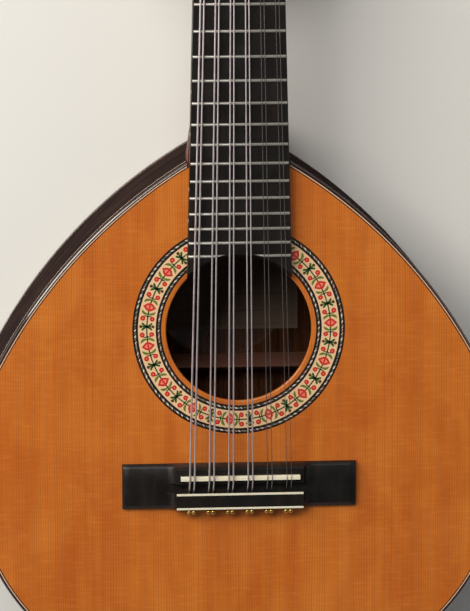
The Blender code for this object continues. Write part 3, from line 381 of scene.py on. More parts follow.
# Polish gives the small unevenness of a rubbed surface.
POLISH, given, out = new_effect(
    "polish", {"Low": 0.1, "High": 0.2, "Patch Size": 0.02}, ("Roughness", "Height"))
scaled = lay(POLISH, "VectorMath", {"operation": "SCALE"}, i0=given["Place"],
             Scale=maths(POLISH, "DIVIDE", 1.0, given["Patch Size"])).outputs[0]
patches = noise(POLISH, scaled, 1.0, 5.0, Roughness=0.6)
join(POLISH, spread(POLISH, patches, 0.3, 0.7, given["Low"], given["High"]), out["Roughness"])
join(POLISH, patches, out["Height"])


def rub_down(tree, shader, place, low, high, patch_size):
    """Polishes the surface to a roughness between low and high."""
    rub = effect(tree, POLISH, Place=place, Low=low, High=high, Patch_Size=patch_size)
    join(tree, rub["Roughness"], shader.inputs["Roughness"])
    return rub


def relief(tree, shader, height, strength, distance, sunk=False):
    """Fine raised marks, or sunk ones, that show only in the light they catch."""
    bump = lay(tree, "Bump", {"invert": sunk}, Strength=strength, Distance=distance,
               Height=height)
    join(tree, bump.outputs[0], shader.inputs["Normal"])


def paint(tree, shader, colour, *figures):
    """Colours the surface, with each (mask, strength, colour) laid over what is below it."""
    for mask, strength, shade in figures:
        colour = blend(tree, times(tree, mask, strength), colour, shade)
    join(tree, colour, shader.inputs["Base Color"])


def turned_place(tree, across, along, other):
    """The place with its axes swapped, so that the grain lies as it does on this piece."""
    split = lay(tree, "SeparateXYZ", Vector=place_of(tree)).outputs
    named = {"X": split["X"], "Y": split["Y"], "Z": split["Z"],
             "matched": maths(tree, "ABSOLUTE", split["X"])}
    return lay(tree, "CombineXYZ", X=named[across], Y=named[along], Z=named[other]).outputs[0]


def fade_gloss(tree, shader, full, least):
    """Lets the lacquer lose its gloss where the surface is seen at a glance."""
    facing = tree.nodes.new("ShaderNodeLayerWeight").outputs["Facing"]
    join(tree, spread(tree, facing, 0.55, 0.8, full, least), shader.inputs["Coat Weight"])


def pored_wood(name, axes, grain, streaks, figures, rub, depth, gloss=None, **constants):
    """Wood with streaks (low, high, first and second colour), other figures and open pores."""
    material, tree, shader = finish(name, **constants)
    if gloss:
        fade_gloss(tree, shader, *gloss)
    place = turned_place(tree, *axes)
    ring_width, waviness, streak_width, pore_length = grain
    drawn = effect(tree, GRAIN, Place=place, Ring_Width=ring_width, Waviness=waviness,
                   Streak_Width=streak_width, Pore_Length=pore_length)
    low, high, first, second = streaks
    paint(tree, shader, blend(tree, spread(tree, drawn["Streaks"], low, high), first, second),
          *[(drawn[kind], strength, shade) for kind, strength, shade in figures])
    rub_down(tree, shader, place, *rub)
    relief(tree, shader, drawn["Pores"], *depth, sunk=True)
    return material


def dark_wood(name, axes, light, dark, line, glancing=0.03, ring_width=0.0025, coat=1.5):
    """Rosewood: streaked and fine-pored, under a glossy lacquer."""
    return pored_wood(
        name, axes, (ring_width, 1.3, 0.007, 0.004), (0.35, 0.66, dark, light),
        [("Rings", 0.65, line), ("Pores", 0.6, "0C0605")], (0.32, 0.5, 0.03), (0.12, 0.0001),
        (1.0, glancing), Coat_Roughness=0.06, Coat_IOR=coat, Specular_IOR_Level=0.0)


ROSEWOOD_BACK = dark_wood("rosewood_back", ("matched", "Y", "Z"), "543523", "29160F", "150906")
ROSEWOOD_RIB = dark_wood("rosewood_rib", ("Z", "X", "Y"), "362622", "1F1413", "120B0A")

HEEL_FOOT = 15.2 * MM
back_line = body_line(PLATE_INSET, end_x=HEEL_FOOT)
back_line += [(-HEEL_FOOT, BACK_END_Y), (HEEL_FOOT, BACK_END_Y)]
fit("back_board", plate([back_line], 0, PLATE_THICKNESS), ROSEWOOD_BACK,
    stands_for="back_plate", slot="rosewood")

RIB_THICKNESS = 2 * MM
RIB_LOW = 4.9 * MM
RIB_HIGH = 62.1 * MM
RIB_END_X = 12 * MM
outer = half_line(0, end_x=RIB_END_X)
inner = half_line(RIB_THICKNESS, end_x=RIB_END_X)
right_rib = outer + inner[::-1]
for side, loop in (("right", right_rib), ("left", mirror(right_rib))):
    fit("rib_board_" + side, plate([loop], RIB_LOW, RIB_HIGH), ROSEWOOD_RIB,
        stands_for="rib_" + side, slot="rosewood")


# Inside of the body
# Linings of cedar glued round both edges of the ribs, an end block, and bars across the top and
# the back, arched in section and pared down at their ends. They are bare sanded wood, seen
# only through the soundhole. The back bars take a darker, redder copy of the bar wood, which
# is painted shade for the gloom inside the body.

def pale_wood(name, axes, light, dark, ring_width):
    material, tree, shader = finish(name)
    place = turned_place(tree, *axes)
    grain = effect(tree, GRAIN, Place=place, Ring_Width=ring_width, Waviness=0.6)
    paint(tree, shader, light, (grain["Rings"], 0.8, dark))
    rub_down(tree, shader, place, 0.5, 0.75, 0.01)
    return material


def surface(name, material):
    """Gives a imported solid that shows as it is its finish."""
    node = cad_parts[name]
    node.data.materials.clear()
    node.data.materials.append(material)
    return node


SPRUCE = pale_wood("spruce_bar", ("Y", "X", "Z"), "9A6E46", "75502F", 0.0011)
LINING = pale_wood("cedar_lining", ("Z", "X", "Y"), "8A5A38", "6B4226", 0.0016)
# The back bars' wood is darkened: painted shade for the gloom inside the body.
SHADED_BAR = pale_wood("bar_wood_painted_shade", ("Y", "X", "Z"), "613C2E", "462B1E", 0.0011)
BAR_TAPER = 30 * MM
BAR_END = 3.8 * MM
BAR_ARCH = [(1, 0), (0.98, 0.14), (0.86, 0.32), (0.7, 0.5), (0.52, 0.68), (0.34, 0.84),
            (0.18, 0.95), (0.07, 1)]


def brace(name, node, material, foot_down):
    """A bar glued down along its foot; its ridge runs out thin towards both ends."""
    low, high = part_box(node)
    foot, way = (low.z, 1) if foot_down else (high.z, -1)
    middle, half_width = (low.y + high.y) / 2, (high.y - low.y) / 2
    face = BAR_ARCH + mirror(BAR_ARCH)
    from_end = [0, 4 * MM, 9 * MM, 15 * MM, 22 * MM, BAR_TAPER]
    sections = []
    for x in [-high.x + d for d in from_end] + [0] + [high.x - d for d in from_end[::-1]]:
        share = min(1, (high.x - abs(x)) / BAR_TAPER) ** 1.25
        tall = BAR_END + (high.z - low.z - BAR_END) * share
        sections.append([(x, middle + across * half_width, foot + way * rise * tall)
                         for across, rise in face])
    fit(name, loft(sections, shift=False), material, stands_for=node, slot="spruce")


for row in ("upper", "lower"):
    brace("top_brace_" + row, "soundboard_bar_" + row, SPRUCE, foot_down=False)
for row in ("upper", "lower"):
    brace("back_brace_" + row, "back_bar_" + row, SHADED_BAR, foot_down=True)
for name in ("lining_top", "lining_back", "end_block"):
    surface(name, LINING)


# Label
# A sheet of paper pasted on the back under the soundhole, with a faint printed double border
# and blank ruled lines. Its cream is darkened to a dull brown, which is painted shade for the
# gloom inside the body.

SHADED_PAPER, tree, shader = finish("label_paper", Specular_IOR_Level=0.25)
label_low, label_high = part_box("label")
middle = (label_low + label_high) / 2
half = (label_high - label_low) / 2
split = lay(tree, "SeparateXYZ", Vector=place_of(tree)).outputs
ROW_PITCH = 9 * MM
PRINT_MARGIN = 9 * MM


def distance(tree, value, centre):
    return maths(tree, "ABSOLUTE", maths(tree, "SUBTRACT", value, centre))


def printed_line(tree, value, centre, width):
    """A line of this width where the value passes the centre."""
    return spread(tree, distance(tree, value, centre), width / 2, width * 0.7, 1.0, 0.0)


from_side = maths(tree, "SUBTRACT", half.x, distance(tree, split["X"], middle.x))
from_end = maths(tree, "SUBTRACT", half.y, distance(tree, split["Y"], middle.y))
inside = maths(tree, "MINIMUM", from_side, from_end)
border = maths(tree, "MAXIMUM", printed_line(tree, inside, 2.6 * MM, 0.7 * MM),
               printed_line(tree, inside, 3.8 * MM, 0.25 * MM))
first_row = middle.y - half.y + 10 * MM
row = maths(tree, "PINGPONG", maths(tree, "SUBTRACT", split["Y"], first_row), ROW_PITCH / 2)
ruled = times(tree, printed_line(tree, row, 0.0, 0.3 * MM),
              maths(tree, "GREATER_THAN", inside, PRINT_MARGIN))
ruled = times(tree, ruled, maths(tree, "LESS_THAN", split["Y"], middle.y - 1 * MM))
ink = maths(tree, "MAXIMUM", times(tree, border, 0.3), times(tree, ruled, 0.6))
# The paper's colour is darkened from cream: painted shade for the gloom inside the body.
shaded_sheet_tone = blend(tree, noise(tree, place_of(tree), 40.0, 3.0), "6C5C4F", "5A4B40")
join(tree, blend(tree, ink, shaded_sheet_tone, "30261F"), shader.inputs["Base Color"])
fibre = noise(tree, place_of(tree), 900.0, 4.0)
join(tree, spread(tree, fibre, 0.0, 1.0, 0.75, 0.95), shader.inputs["Roughness"])
relief(tree, shader, fibre, 0.15, 0.00005)
surface("label", SHADED_PAPER)


# Soundboard
# Two matched halves of red cedar, 2.5 mm thick, with fine straight grain, crossed by the silk
# of its rays. It is glued to the linings, and lacquered to a gloss.

HOLE_RADIUS = 37.65 * MM
HOLE_Y = 76.7 * MM
ROSETTE_INNER = 40.2 * MM
ROSETTE_OUTER = 55.2 * MM
TOP_UNDERSIDE = BODY_DEPTH - PLATE_THICKNESS
ROSETTE_FLOOR = BODY_DEPTH - 1.3 * MM
LIP = 0.8 * MM
SOFT_CORNER = 0.2 * MM


def circle(radius, steps, x=0.0, y=0.0):
    return sweep(x, y, radius, 0, 2 * math.pi * (1 - 1 / steps), steps - 1)


def turned(profile, steps, centre=(0, 0), shift=True, closed=False):
    """A profile of (radius, height) points turned on the lathe about an upright axis."""
    x, y = centre
    points, rings = [], []
    for radius, z in profile:
        if radius < 1e-9:
            rings.append([len(points)])
            points.append((x, y, z))
        else:
            rings.append(list(range(len(points), len(points) + steps)))
            points += [(px, py, z) for px, py in circle(radius, steps, x, y)]
    faces = []
    for low, high in list(zip(rings, rings[1:])) + ([(rings[-1], rings[0])] if closed else []):
        for i in range(steps):
            j = (i + 1) % steps
            quad = [low[i % len(low)], low[j % len(low)], high[j % len(high)], high[i % len(high)]]
            faces.append(list(dict.fromkeys(quad)))
    return skin(points, faces, shift)


CEDAR, tree, shader = finish("red_cedar", Coat_Weight=1.0, Coat_Roughness=0.08,
                             Specular_IOR_Level=0.3)
place = turned_place(tree, "matched", "Y", "Z")
grain = effect(tree, GRAIN, Place=place, Ring_Width=0.00125, Waviness=0.5, Streak_Width=0.012)
cloud = noise(tree, stretch(tree, place_of(tree), (48, 26, 48)), 1.0, 3.0, Distortion=0.8)
streaked = times(tree, spread(tree, grain["Streaks"], 0.33, 0.67), 0.35)
clouded = times(tree, spread(tree, cloud, 0.35, 0.65), 0.4)
silky = times(tree, grain["Silk"], 0.32)
tone = maths(tree, "ADD", maths(tree, "ADD", streaked, clouded), silky)
paint(tree, shader, blend(tree, tone, "BB5C11", "DA812B"), (grain["Rings"], 0.6, "8A3A0C"))
rub_down(tree, shader, place, 0.42, 0.55, 0.04)
relief(tree, shader, grain["Rings"], 0.08, 0.00006)

top_line = body_line(PLATE_INSET, end_y=PLATE_END_Y)
top_mesh = plate([top_line, circle(ROSETTE_OUTER, 180, y=HOLE_Y)], TOP_UNDERSIDE, BODY_DEPTH)
fit("cedar_top", top_mesh, CEDAR, stands_for="soundboard", slot="cedar_top")
hole_profile = [
    (ROSETTE_OUTER, TOP_UNDERSIDE), (HOLE_RADIUS + SOFT_CORNER, TOP_UNDERSIDE),
    (HOLE_RADIUS, TOP_UNDERSIDE + SOFT_CORNER), (HOLE_RADIUS, BODY_DEPTH - LIP),
    (HOLE_RADIUS + 0.15 * LIP, BODY_DEPTH - 0.5 * LIP),
    (HOLE_RADIUS + 0.5 * LIP, BODY_DEPTH - 0.15 * LIP), (HOLE_RADIUS + LIP, BODY_DEPTH),
    (ROSETTE_INNER, BODY_DEPTH), (ROSETTE_INNER, ROSETTE_FLOOR), (ROSETTE_OUTER, ROSETTE_FLOOR)]
fit("soundhole_rim", turned(hole_profile, 180, (0, HOLE_Y), closed=True), CEDAR,
    slot="cedar_top", smooth=50)


# Bindings
# The top's edge is bound with rosewood, rounded outside, then a cream line and a thin dark
# line, glued side by side and scraped level with the cedar. A cream line runs under it.

def mottled(name, light, dark, patches, rub, **constants):
    """A finish that wanders between two shades; patches are the noise's own sockets."""
    material, tree, shader = finish(name, **constants)
    patchy = lay(tree, "TexNoise", Vector=place_of(tree), **patches).outputs["Fac"]
    paint(tree, shader, blend(tree, patchy, light, dark))
    rubbed = rub_down(tree, shader, place_of(tree), *rub) if rub else None
    return material, tree, shader, rubbed


def plain_veneer(name, light, dark, scale=600.0):
    """Dyed or pale veneer: an even colour with fine fibres, under the same gloss."""
    return mottled(name, light, dark, {"Scale": scale, "Detail": 3.0, "Roughness": 0.6},
                   (0.4, 0.55, 0.01), Coat_Weight=1.0, Coat_Roughness=0.08,
                   Specular_IOR_Level=0.3)[0]


def moulding(profile, ends):
    """A strip that runs round the body with this cross-section of (inset, height) points."""
    lines = [body_line(inset, **ends) for inset, _ in profile]
    return loft([[(x, y, height) for (x, y), (_, height) in zip(section, profile)]
                 for section in zip(*lines)])


ROSEWOOD_EDGE = dark_wood("rosewood_edge", ("Z", "X", "Y"), "3A2420", "20120F", "140A08",
                          0.05, 0.004, coat=1.9)
CREAM_LINE = plain_veneer("cream_line", "E6BD9E", "CB9F80")
BLACK_LINE = plain_veneer("black_line", "17110F", "0A0706")
BESIDE_HEEL = {"end_y": PLATE_END_Y, "end_x": HEEL_HALF_WIDTH + GAP}
BINDING_LOW = 63 * MM
BINDING_WIDTH = 1.4 * MM
LINES_LOW = 66 * MM
CREAM_INNER = 1.95 * MM
SIDE_LINE_DEPTH = 1.6 * MM
BACK_BINDING_HIGH = 4 * MM
EDGE_RADIUS = 1.0 * MM
rounding = [(EDGE_RADIUS * (1 - math.cos(math.radians(a))),
             EDGE_RADIUS * (1 - math.sin(math.radians(a)))) for a in range(0, 91, 15)]
top_profile = [(0, BINDING_LOW)] + [(inset, BODY_DEPTH - drop) for inset, drop in rounding]
top_profile += [(BINDING_WIDTH, BODY_DEPTH), (BINDING_WIDTH, BINDING_LOW)]
back_profile = [(PLATE_INSET, BACK_BINDING_HIGH), (PLATE_INSET, 0)] + rounding[::-1]
back_profile += [(0, BACK_BINDING_HIGH)]
fit("top_binding", moulding(top_profile, BESIDE_HEEL), ROSEWOOD_EDGE, stands_for="binding_top",
    slot="binding_rosewood")
for name, material, inner, outer, low, high, ends in (
        ("top_cream_line", CREAM_LINE, CREAM_INNER, BINDING_WIDTH, LINES_LOW, BODY_DEPTH,
         BESIDE_HEEL),
        ("top_dark_line", BLACK_LINE, PLATE_INSET, CREAM_INNER, LINES_LOW, BODY_DEPTH,
         BESIDE_HEEL),
        ("side_line_upper", CREAM_LINE, SIDE_LINE_DEPTH, 0.0, RIB_HIGH, BINDING_LOW, BESIDE_HEEL),
        ("side_line_lower", CREAM_LINE, SIDE_LINE_DEPTH, 0.0, BACK_BINDING_HIGH, RIB_LOW,
         {"end_x": RIB_END_X})):
    fit(name, moulding([(outer, low), (outer, high), (inner, high), (inner, low)], ends), material)
fit("back_binding", moulding(back_profile, {"end_x": HEEL_FOOT}), ROSEWOOD_EDGE,
    stands_for="binding_back", slot="binding_rosewood")


# Rosette
# A ring of wood mosaic let into the cedar round the soundhole: black borders with slanting
# white dashes, and between them a cream band with a traditional pattern of dyed veneers, red
# lozenges and roses on a green stem with leaves.

DYED = {name: plain_veneer("rosette_" + name, light, dark, 900.0) for name, light, dark in (
    ("cream", "F0CDA2", "E0B98C"), ("black", "150A07", "0B0403"), ("white", "E4DBCD", "C6BDAD"),
    ("blush", "D2A896", "B58F82"), ("sage", "8F9078", "6E705C"), ("green", "164A26", "0D361C"),
    ("olive", "6C7A26", "5A6A20"), ("red", "D02C1E", "B8241A"), ("pink", "F58A70", "E47862"),
    ("brown", "58400F", "3C2A0A"))}
VENEER_DEPTH = 0.25 * MM
BAND_INNER = 43.1 * MM
BAND_OUTER = 52.25 * MM
BED_TOP = BODY_DEPTH - 0.03 * MM
FLUSH = -0.01 * MM


def ring_of(name, inner, outer, colour, **more):
    profile = [(inner, ROSETTE_FLOOR), (inner, BED_TOP), (outer, BED_TOP), (outer, ROSETTE_FLOOR)]
    fit(name, turned(profile, 180, (0, HOLE_Y), closed=True), DYED[colour], smooth=0, **more)


def inlay(name, shapes, colour, rise):
    """Flat cut pieces, each a loop of (radius, angle) points, level with the ring or just over."""
    points, faces = [], []
    for loop in shapes:
        count, start = len(loop), len(points)
        for z in (BODY_DEPTH - VENEER_DEPTH, BODY_DEPTH + rise):
            points += [(r * math.cos(a), HOLE_Y + r * math.sin(a), z) for r, a in loop]
        faces += [range(start + count - 1, start - 1, -1), range(start + count, start + 2 * count)]
        faces += wall(start, start + count, count)
    fit(name, skin(points, faces), DYED[colour], smooth=0, slot="rosette_mosaic")


ring_of("rosette_bed_inner", ROSETTE_INNER, BAND_INNER, "black", stands_for="rosette",
        slot="rosette_mosaic")
ring_of("rosette_band", BAND_INNER, BAND_OUTER, "cream")
ring_of("rosette_bed_outer", BAND_OUTER, ROSETTE_OUTER, "black")

chips = random.Random(7)
for name, count, radius in (("inner", 86, 41.6 * MM), ("outer", 108, 53.8 * MM)):
    flecks = {"white": [], "blush": [], "sage": []}
    pitch = 2 * math.pi / count
    for k in range(count):
        for start, long, half, kinds in (
                (0.0, 1.4, 0.38, ("white", "white", "white", "blush", "sage")),
                (0.5, 0.8, 0.3, ("sage", "sage", "sage", "blush"))):
            inner, outer = radius - half * MM, radius + half * MM
            a = (k + start + chips.uniform(-0.08, 0.08)) * pitch
            half_long = long * chips.uniform(0.3, 0.6) * MM / radius
            lean = chips.uniform(0.35, 0.6) * MM / radius
            flecks[chips.choice(kinds)].append([
                (inner, a - half_long - lean), (inner, a + half_long - lean),
                (outer, a + half_long + lean), (outer, a - half_long + lean)])
    for kind, shapes in flecks.items():
        inlay(f"rosette_flecks_{name}_{kind}", shapes, kind, FLUSH)

# The motif lies along the ring, in millimetres across it (u) and along it (v) from its lozenge.
MID_RADIUS = 47.7 * MM
REPEAT = math.radians(24.74)
FIRST_LOZENGE = math.radians(3.2)
UNIT = 20.6
HALF_UNIT = UNIT / 2
LOZENGE = [(3.5, 0), (1.4, 1.8), (0, 2.3), (-1.4, 1.8), (-3.5, 0), (-1.4, -1.8), (0, -2.3),
           (1.4, -1.8)]


def blob(u, v, radius, steps=14):
    """A disc of the motif."""
    return [(u + radius * math.cos(2 * math.pi * k / steps),
             v + radius * math.sin(2 * math.pi * k / steps)) for k in range(steps)]


def stroke(points, widths):
    """A ribbon along points of the motif, as wide at each as its list says."""
    left_side, right_side = [], []
    for i, (u, v) in enumerate(points):
        before, after = points[max(i - 1, 0)], points[min(i + 1, len(points) - 1)]
        du, dv = after[0] - before[0], after[1] - before[1]
        length = math.hypot(du, dv)
        wide = widths[i] / 2
        left_side.append((u - dv / length * wide, v + du / length * wide))
        right_side.append((u + dv / length * wide, v - du / length * wide))
    return left_side + right_side[::-1]


cut = {kind: [] for kind in ("olive", "stem", "rose", "pip", "bud", "lozenge", "heart", "core")}
for way in (-1, 1):
    stem = [(0, way * v) for v in (2.0, 5.0, 8.0, HALF_UNIT)]
    cut["stem"].append(stroke(stem, (0.7, 0.66, 0.66, 0.66)))
    for side in (-1, 1):
        petal = [(0.1, 0.15), (0.9, 0.55), (1.8, 1.15), (2.5, 2.0)]
        for kind, points, widths in (
                ("olive", [(0.1, 3.7), (1.1, 3.75), (2.2, 3.4), (3.0, 2.8), (3.6, 2.0)],
                 (0.5, 1.0, 1.35, 1.1, 0.2)),
                ("stem", [(0, 5.1), (1.0, 4.75), (1.9, 4.95), (2.4, 5.6)], (0.6, 0.55, 0.55, 0.5)),
                ("stem", [(u, HALF_UNIT - v) for u, v in petal], (0.9, 0.75, 0.7, 0.5)),
                ("olive", [(u + 0.1, HALF_UNIT - v * 0.9) for u, v in petal[1:]],
                 (1.1, 1.2, 0.9))):
            cut[kind].append(stroke([(side * u, way * v) for u, v in points], widths))
        cut["rose"].append(blob(side * 2.45, way * 6.1, 1.3))
        cut["pip"].append(blob(side * 2.45, way * 6.1, 0.38, 8))
for side in (-1, 1):
    cut["bud"].append(blob(side * 3.15, HALF_UNIT, 0.82, 10))
    cut["stem"].append(stroke([(side * u, HALF_UNIT) for u in (0, 1.2, 2.6)], (0.9, 0.7, 0.5)))
cut["lozenge"].append(LOZENGE)
cut["heart"].append([(u * 0.6, v * 0.52) for u, v in LOZENGE])
cut["core"].append(stroke([(0, -1.4), (0, 0), (0, 1.4)], (0.4, 1.0, 0.4)))

# It goes thirteen times round the ring, whose two ends hide under the board.
for kind, colour, rise in (
        ("olive", "olive", 0.0), ("stem", "green", 0.01), ("bud", "brown", 0.02),
        ("rose", "red", 0.02), ("pip", "pink", 0.03), ("lozenge", "red", 0.02),
        ("heart", "pink", 0.03), ("core", "red", 0.04)):
    middles = [FIRST_LOZENGE + REPEAT * (2 - k) for k in range(13)]
    inlay("rosette_" + kind, [[(MID_RADIUS + u * MM, middle + v * REPEAT / UNIT) for u, v in loop]
                              for middle in middles for loop in cut[kind]], colour, rise * MM)


# Neck
# One stick of reddish Spanish cedar with a stacked heel, carved by hand to a D section and
# rounded into the heel. Its block inside the body holds the rib ends, and its foot the back.

SCALE_LENGTH = 260 * MM
NUT_HALF = 23.2 * MM
JOINT_HALF = 25.6 * MM
NECK_TOP = BODY_DEPTH - GAP
HEAD_Y = SCALE_LENGTH + 5.6 * MM
HEAD_TILT = math.radians(14)
HEAD_LENGTH = 162 * MM
HEAD_HALF_WIDTH = 37 * MM
HEAD_THICKNESS = 15 * MM
HEAD_FLARE = 20 * MM
CREST = 12 * MM
HEEL_REAR = PLATE_END_Y + GAP
HEEL_FOOT_HALF = 15 * MM
HEEL_FOOT_REACH = 24 * MM
HEEL_SPREAD = 22 * MM
SHAFT_DEPTH = 16 * MM
SHAFT_DEPTH_AT_NUT = 14 * MM
SHAFT_UNDERSIDE = NECK_TOP - SHAFT_DEPTH
CAP_TOP = 2.6 * MM
CAP_HALF_WIDTH = 14.4 * MM
CAP_REACH = 23 * MM
SPARE = 3 * MM
BED_DEPTH = 3 * MM
SANDED = 0.5 * MM
SANDED_FROM = 20 * MM
SANDED_RAMP = 8 * MM
HEAD_FRAME = Matrix.Translation((0, SADDLE_Y + HEAD_Y, NECK_TOP)) @ Matrix.Rotation(
    -HEAD_TILT, 4, "X")


def board_half_width(y):
    """Half the fingerboard's width, 46.4 mm at the nut and 51.2 mm where it meets the body."""
    share = (SCALE_LENGTH - y) / (SCALE_LENGTH - JOINT_Y)
    return NUT_HALF + (JOINT_HALF - NUT_HALF) * share


def signed_power(value, power):
    return math.copysign(abs(value) ** power, value)


def half_turn(steps):
    """Angles from 0 to 180 degrees, both among them."""
    return [math.pi * i / steps for i in range(steps + 1)]


def shaft_ring(y, half, top, depth):
    """A D-shaped ring across the neck, with spare wood above that is planed off later."""
    ring = [(half * signed_power(math.cos(a), 0.85), y, top - depth * math.sin(a) ** 0.9)
            for a in half_turn(28)]
    return [(half, y, top + SPARE)] + ring + [(-half, y, top + SPARE)]


def heel_ring(z):
    """A level ring through the heel, narrow at the cap and drawn out towards the shaft."""
    rise = min(max(z, 0) / SHAFT_UNDERSIDE, 1)
    reach = HEEL_FOOT_REACH + HEEL_SPREAD * (1 - math.sqrt(1 - rise ** 2))
    half = HEEL_FOOT_HALF + (HEEL_HALF_WIDTH - HEEL_FOOT_HALF) * rise
    ring = [(half * signed_power(math.cos(a), 0.7), HEEL_REAR + reach * math.sin(a), z)
            for a in half_turn(24)]
    return [(half, HEEL_REAR - SPARE, z)] + ring + [(-half, HEEL_REAR - SPARE, z)]


def head_line(margin=0.0, steps=24):
    """The head's face, flaring from the nut and ending in a curved crest."""
    right_side = [(NUT_HALF - margin, margin)]
    shares = [i / steps for i in range(1, steps + 1)]
    for share in shares:
        eased = share * share * (3 - 2 * share)
        right_side.append((NUT_HALF + (HEAD_HALF_WIDTH - NUT_HALF) * eased - margin,
                           HEAD_FLARE * share + margin))
    shoulder = HEAD_LENGTH - CREST - margin
    right_side.append((HEAD_HALF_WIDTH - margin, shoulder))
    for share in shares:
        rise = CREST * (math.sin(math.pi / 2 * share) - math.sin(math.pi * share) / 4)
        right_side.append(((HEAD_HALF_WIDTH - margin) * (1 - share), shoulder + rise))
    return right_side[::-1] + [(-x, y) for x, y in right_side[:-1]]


def change(obj, name, kind, **settings):
    """A modifier with these settings."""
    modifier = obj.modifiers.new(name, kind)
    for key, value in settings.items():
        setattr(modifier, key, value)


def ease_edges(obj, width, segments=2, angle=40):
    """Breaks the sharp edges, as a scraper and fine paper do."""
    change(obj, "eased_edges", "BEVEL", width=width, segments=segments, limit_method="ANGLE",
           angle_limit=math.radians(angle), harden_normals=True)


shaft = loft([shaft_ring(*ring) for ring in (
    (HEAD_Y + SPARE, NUT_HALF, NECK_TOP - SPARE * math.tan(HEAD_TILT), SHAFT_DEPTH_AT_NUT),
    (HEAD_Y, NUT_HALF, NECK_TOP, SHAFT_DEPTH_AT_NUT),
    (JOINT_Y, JOINT_HALF, NECK_TOP, SHAFT_DEPTH),
    (HEEL_REAR, HEEL_HALF_WIDTH, NECK_TOP, SHAFT_DEPTH),
    (HEEL_REAR - SPARE, HEEL_HALF_WIDTH, NECK_TOP, SHAFT_DEPTH))])
rises = [SHAFT_UNDERSIDE * math.sin(math.pi / 2 * i / 18) for i in range(1, 19)]
heel = loft([heel_ring(z) for z in [-SPARE, 0] + rises + [NECK_TOP]])
head_wood = plate([head_line()], -HEAD_THICKNESS, SPARE, HEAD_FRAME, shift=False)
work = bmesh.new()
for part in (shaft, heel, head_wood):
    work.from_mesh(part)
neck_blank = stand("neck_blank", outwards(work, bpy.data.meshes.new("neck_blank")))
change(neck_blank, "one_piece", "REMESH", mode="VOXEL", voxel_size=0.9 * MM)
change(neck_blank, "rasped_smooth", "SMOOTH", factor=0.5, iterations=8)
carved = realised(neck_blank)

# The heel and the head are blended into the shaft, and the rear edges of the head are rounded.
# Each blend is given by where it starts, how far its middle lies beyond, and its reach.
BLENDS = ((HEEL_REAR, 39 * MM, 33 * MM), (HEAD_Y, 4 * MM, 22 * MM))
work = bmesh.new()
work.from_mesh(carved)
onto_head = HEAD_FRAME.inverted()
blended = [v for v in work.verts if v.co.z < NECK_TOP - BED_DEPTH and any(
    abs(v.co.y - SADDLE_Y - start - beyond) < reach for start, beyond, reach in BLENDS)]
behind_nut = [v for v in work.verts if v.co.y > SADDLE_Y + HEAD_Y]
layers = [[v for v in behind_nut if (onto_head @ v.co).z < -depth * MM] for depth in (2, 4, 6, 8)]
for chosen, strokes in [(blended, 60)] + [(layer, 6) for layer in layers]:
    for _ in range(strokes):
        bmesh.ops.smooth_vert(work, verts=chosen, factor=0.5, use_axis_x=True, use_axis_y=True,
                              use_axis_z=True)

# The back of the head is sanded flat up to its eased edge, where the tuner plates are screwed on.
for v in work.verts:
    spot = onto_head @ v.co
    share = min(1, (spot.y - SANDED_FROM) / SANDED_RAMP)
    lift = spot.z + HEAD_THICKNESS
    if share > 0 and lift < SANDED:
        spot.z += (max(0, 2 * lift - SANDED) - lift) * share
        v.co = HEAD_FRAME @ spot

# Then the board's bed, the head's face, the joint and the heel's foot are planed.
for point, normal in (((0, 0, NECK_TOP), (0, 0, 1)),
                      (HEAD_FRAME.translation, HEAD_FRAME.to_3x3() @ Vector((0, 0, 1))),
                      ((0, SADDLE_Y + HEEL_REAR, 0), (0, -1, 0)), ((0, 0, CAP_TOP), (0, 0, -1))):
    everything = work.verts[:] + work.edges[:] + work.faces[:]
    found = bmesh.ops.bisect_plane(work, geom=everything, plane_co=point, plane_no=normal,
                                   dist=0.0001 * MM, clear_outer=True)
    rim = [e for e in found["geom_cut"] if isinstance(e, bmesh.types.BMEdge)]
    bmesh.ops.edgeloop_fill(work, edges=rim)
neck_piece = outwards(work, carved)

NECK_WOOD = pored_wood(
    "neck_cedar", ("X", "Y", "Z"), (0.003, 0.8, 0.01, 0.0016), (0.35, 0.65, "582818", "703621"),
    [("Rings", 0.3, "4A1F12"), ("Pores", 0.3, "3A170D")], (0.3, 0.45, 0.02), (0.15, 0.00008),
    (0.5, 0.03), Coat_Roughness=0.12, Specular_IOR_Level=0.05)
fit("neck_stick", neck_piece, NECK_WOOD, stands_for="neck", slot="neck_mahogany", smooth=30)

BLOCK_HALF_WIDTH = 19 * MM
BLOCK_LOW = 2.8 * MM
BLOCK_HIGH = TOP_UNDERSIDE - GAP
ALONG_X = Matrix(((0, 0, 1, 0), (1, 0, 0, 0), (0, 1, 0, 0), (0, 0, 0, 1)))
block_rear = PLATE_END_Y - 25 * MM
foot_rear = block_rear - 18 * MM
block_side = [
    (foot_rear, BLOCK_LOW), (HEEL_REAR + SPARE, BLOCK_LOW), (HEEL_REAR + SPARE, BLOCK_HIGH),
    (block_rear, BLOCK_HIGH), (block_rear, BLOCK_LOW + 11 * MM), (foot_rear, BLOCK_LOW + 3.7 * MM)]
block_mesh = plate([block_side], -BLOCK_HALF_WIDTH, BLOCK_HALF_WIDTH, ALONG_X)
ease_edges(fit("neck_block", block_mesh, NECK_WOOD, slot="neck_mahogany"), 0.8 * MM)
cap_turn = math.asin((BACK_END_Y + GAP - HEEL_REAR) / CAP_REACH)
cap_line = [(CAP_HALF_WIDTH * signed_power(math.cos(a), 0.7), HEEL_REAR + CAP_REACH * math.sin(a))
            for a in (cap_turn + (math.pi - 2 * cap_turn) * i / 24 for i in range(25))]
heel_cap = fit("heel_cap", plate([cap_line], GAP, CAP_TOP), ROSEWOOD_EDGE, slot="rosewood")
ease_edges(heel_cap, 0.3 * MM)


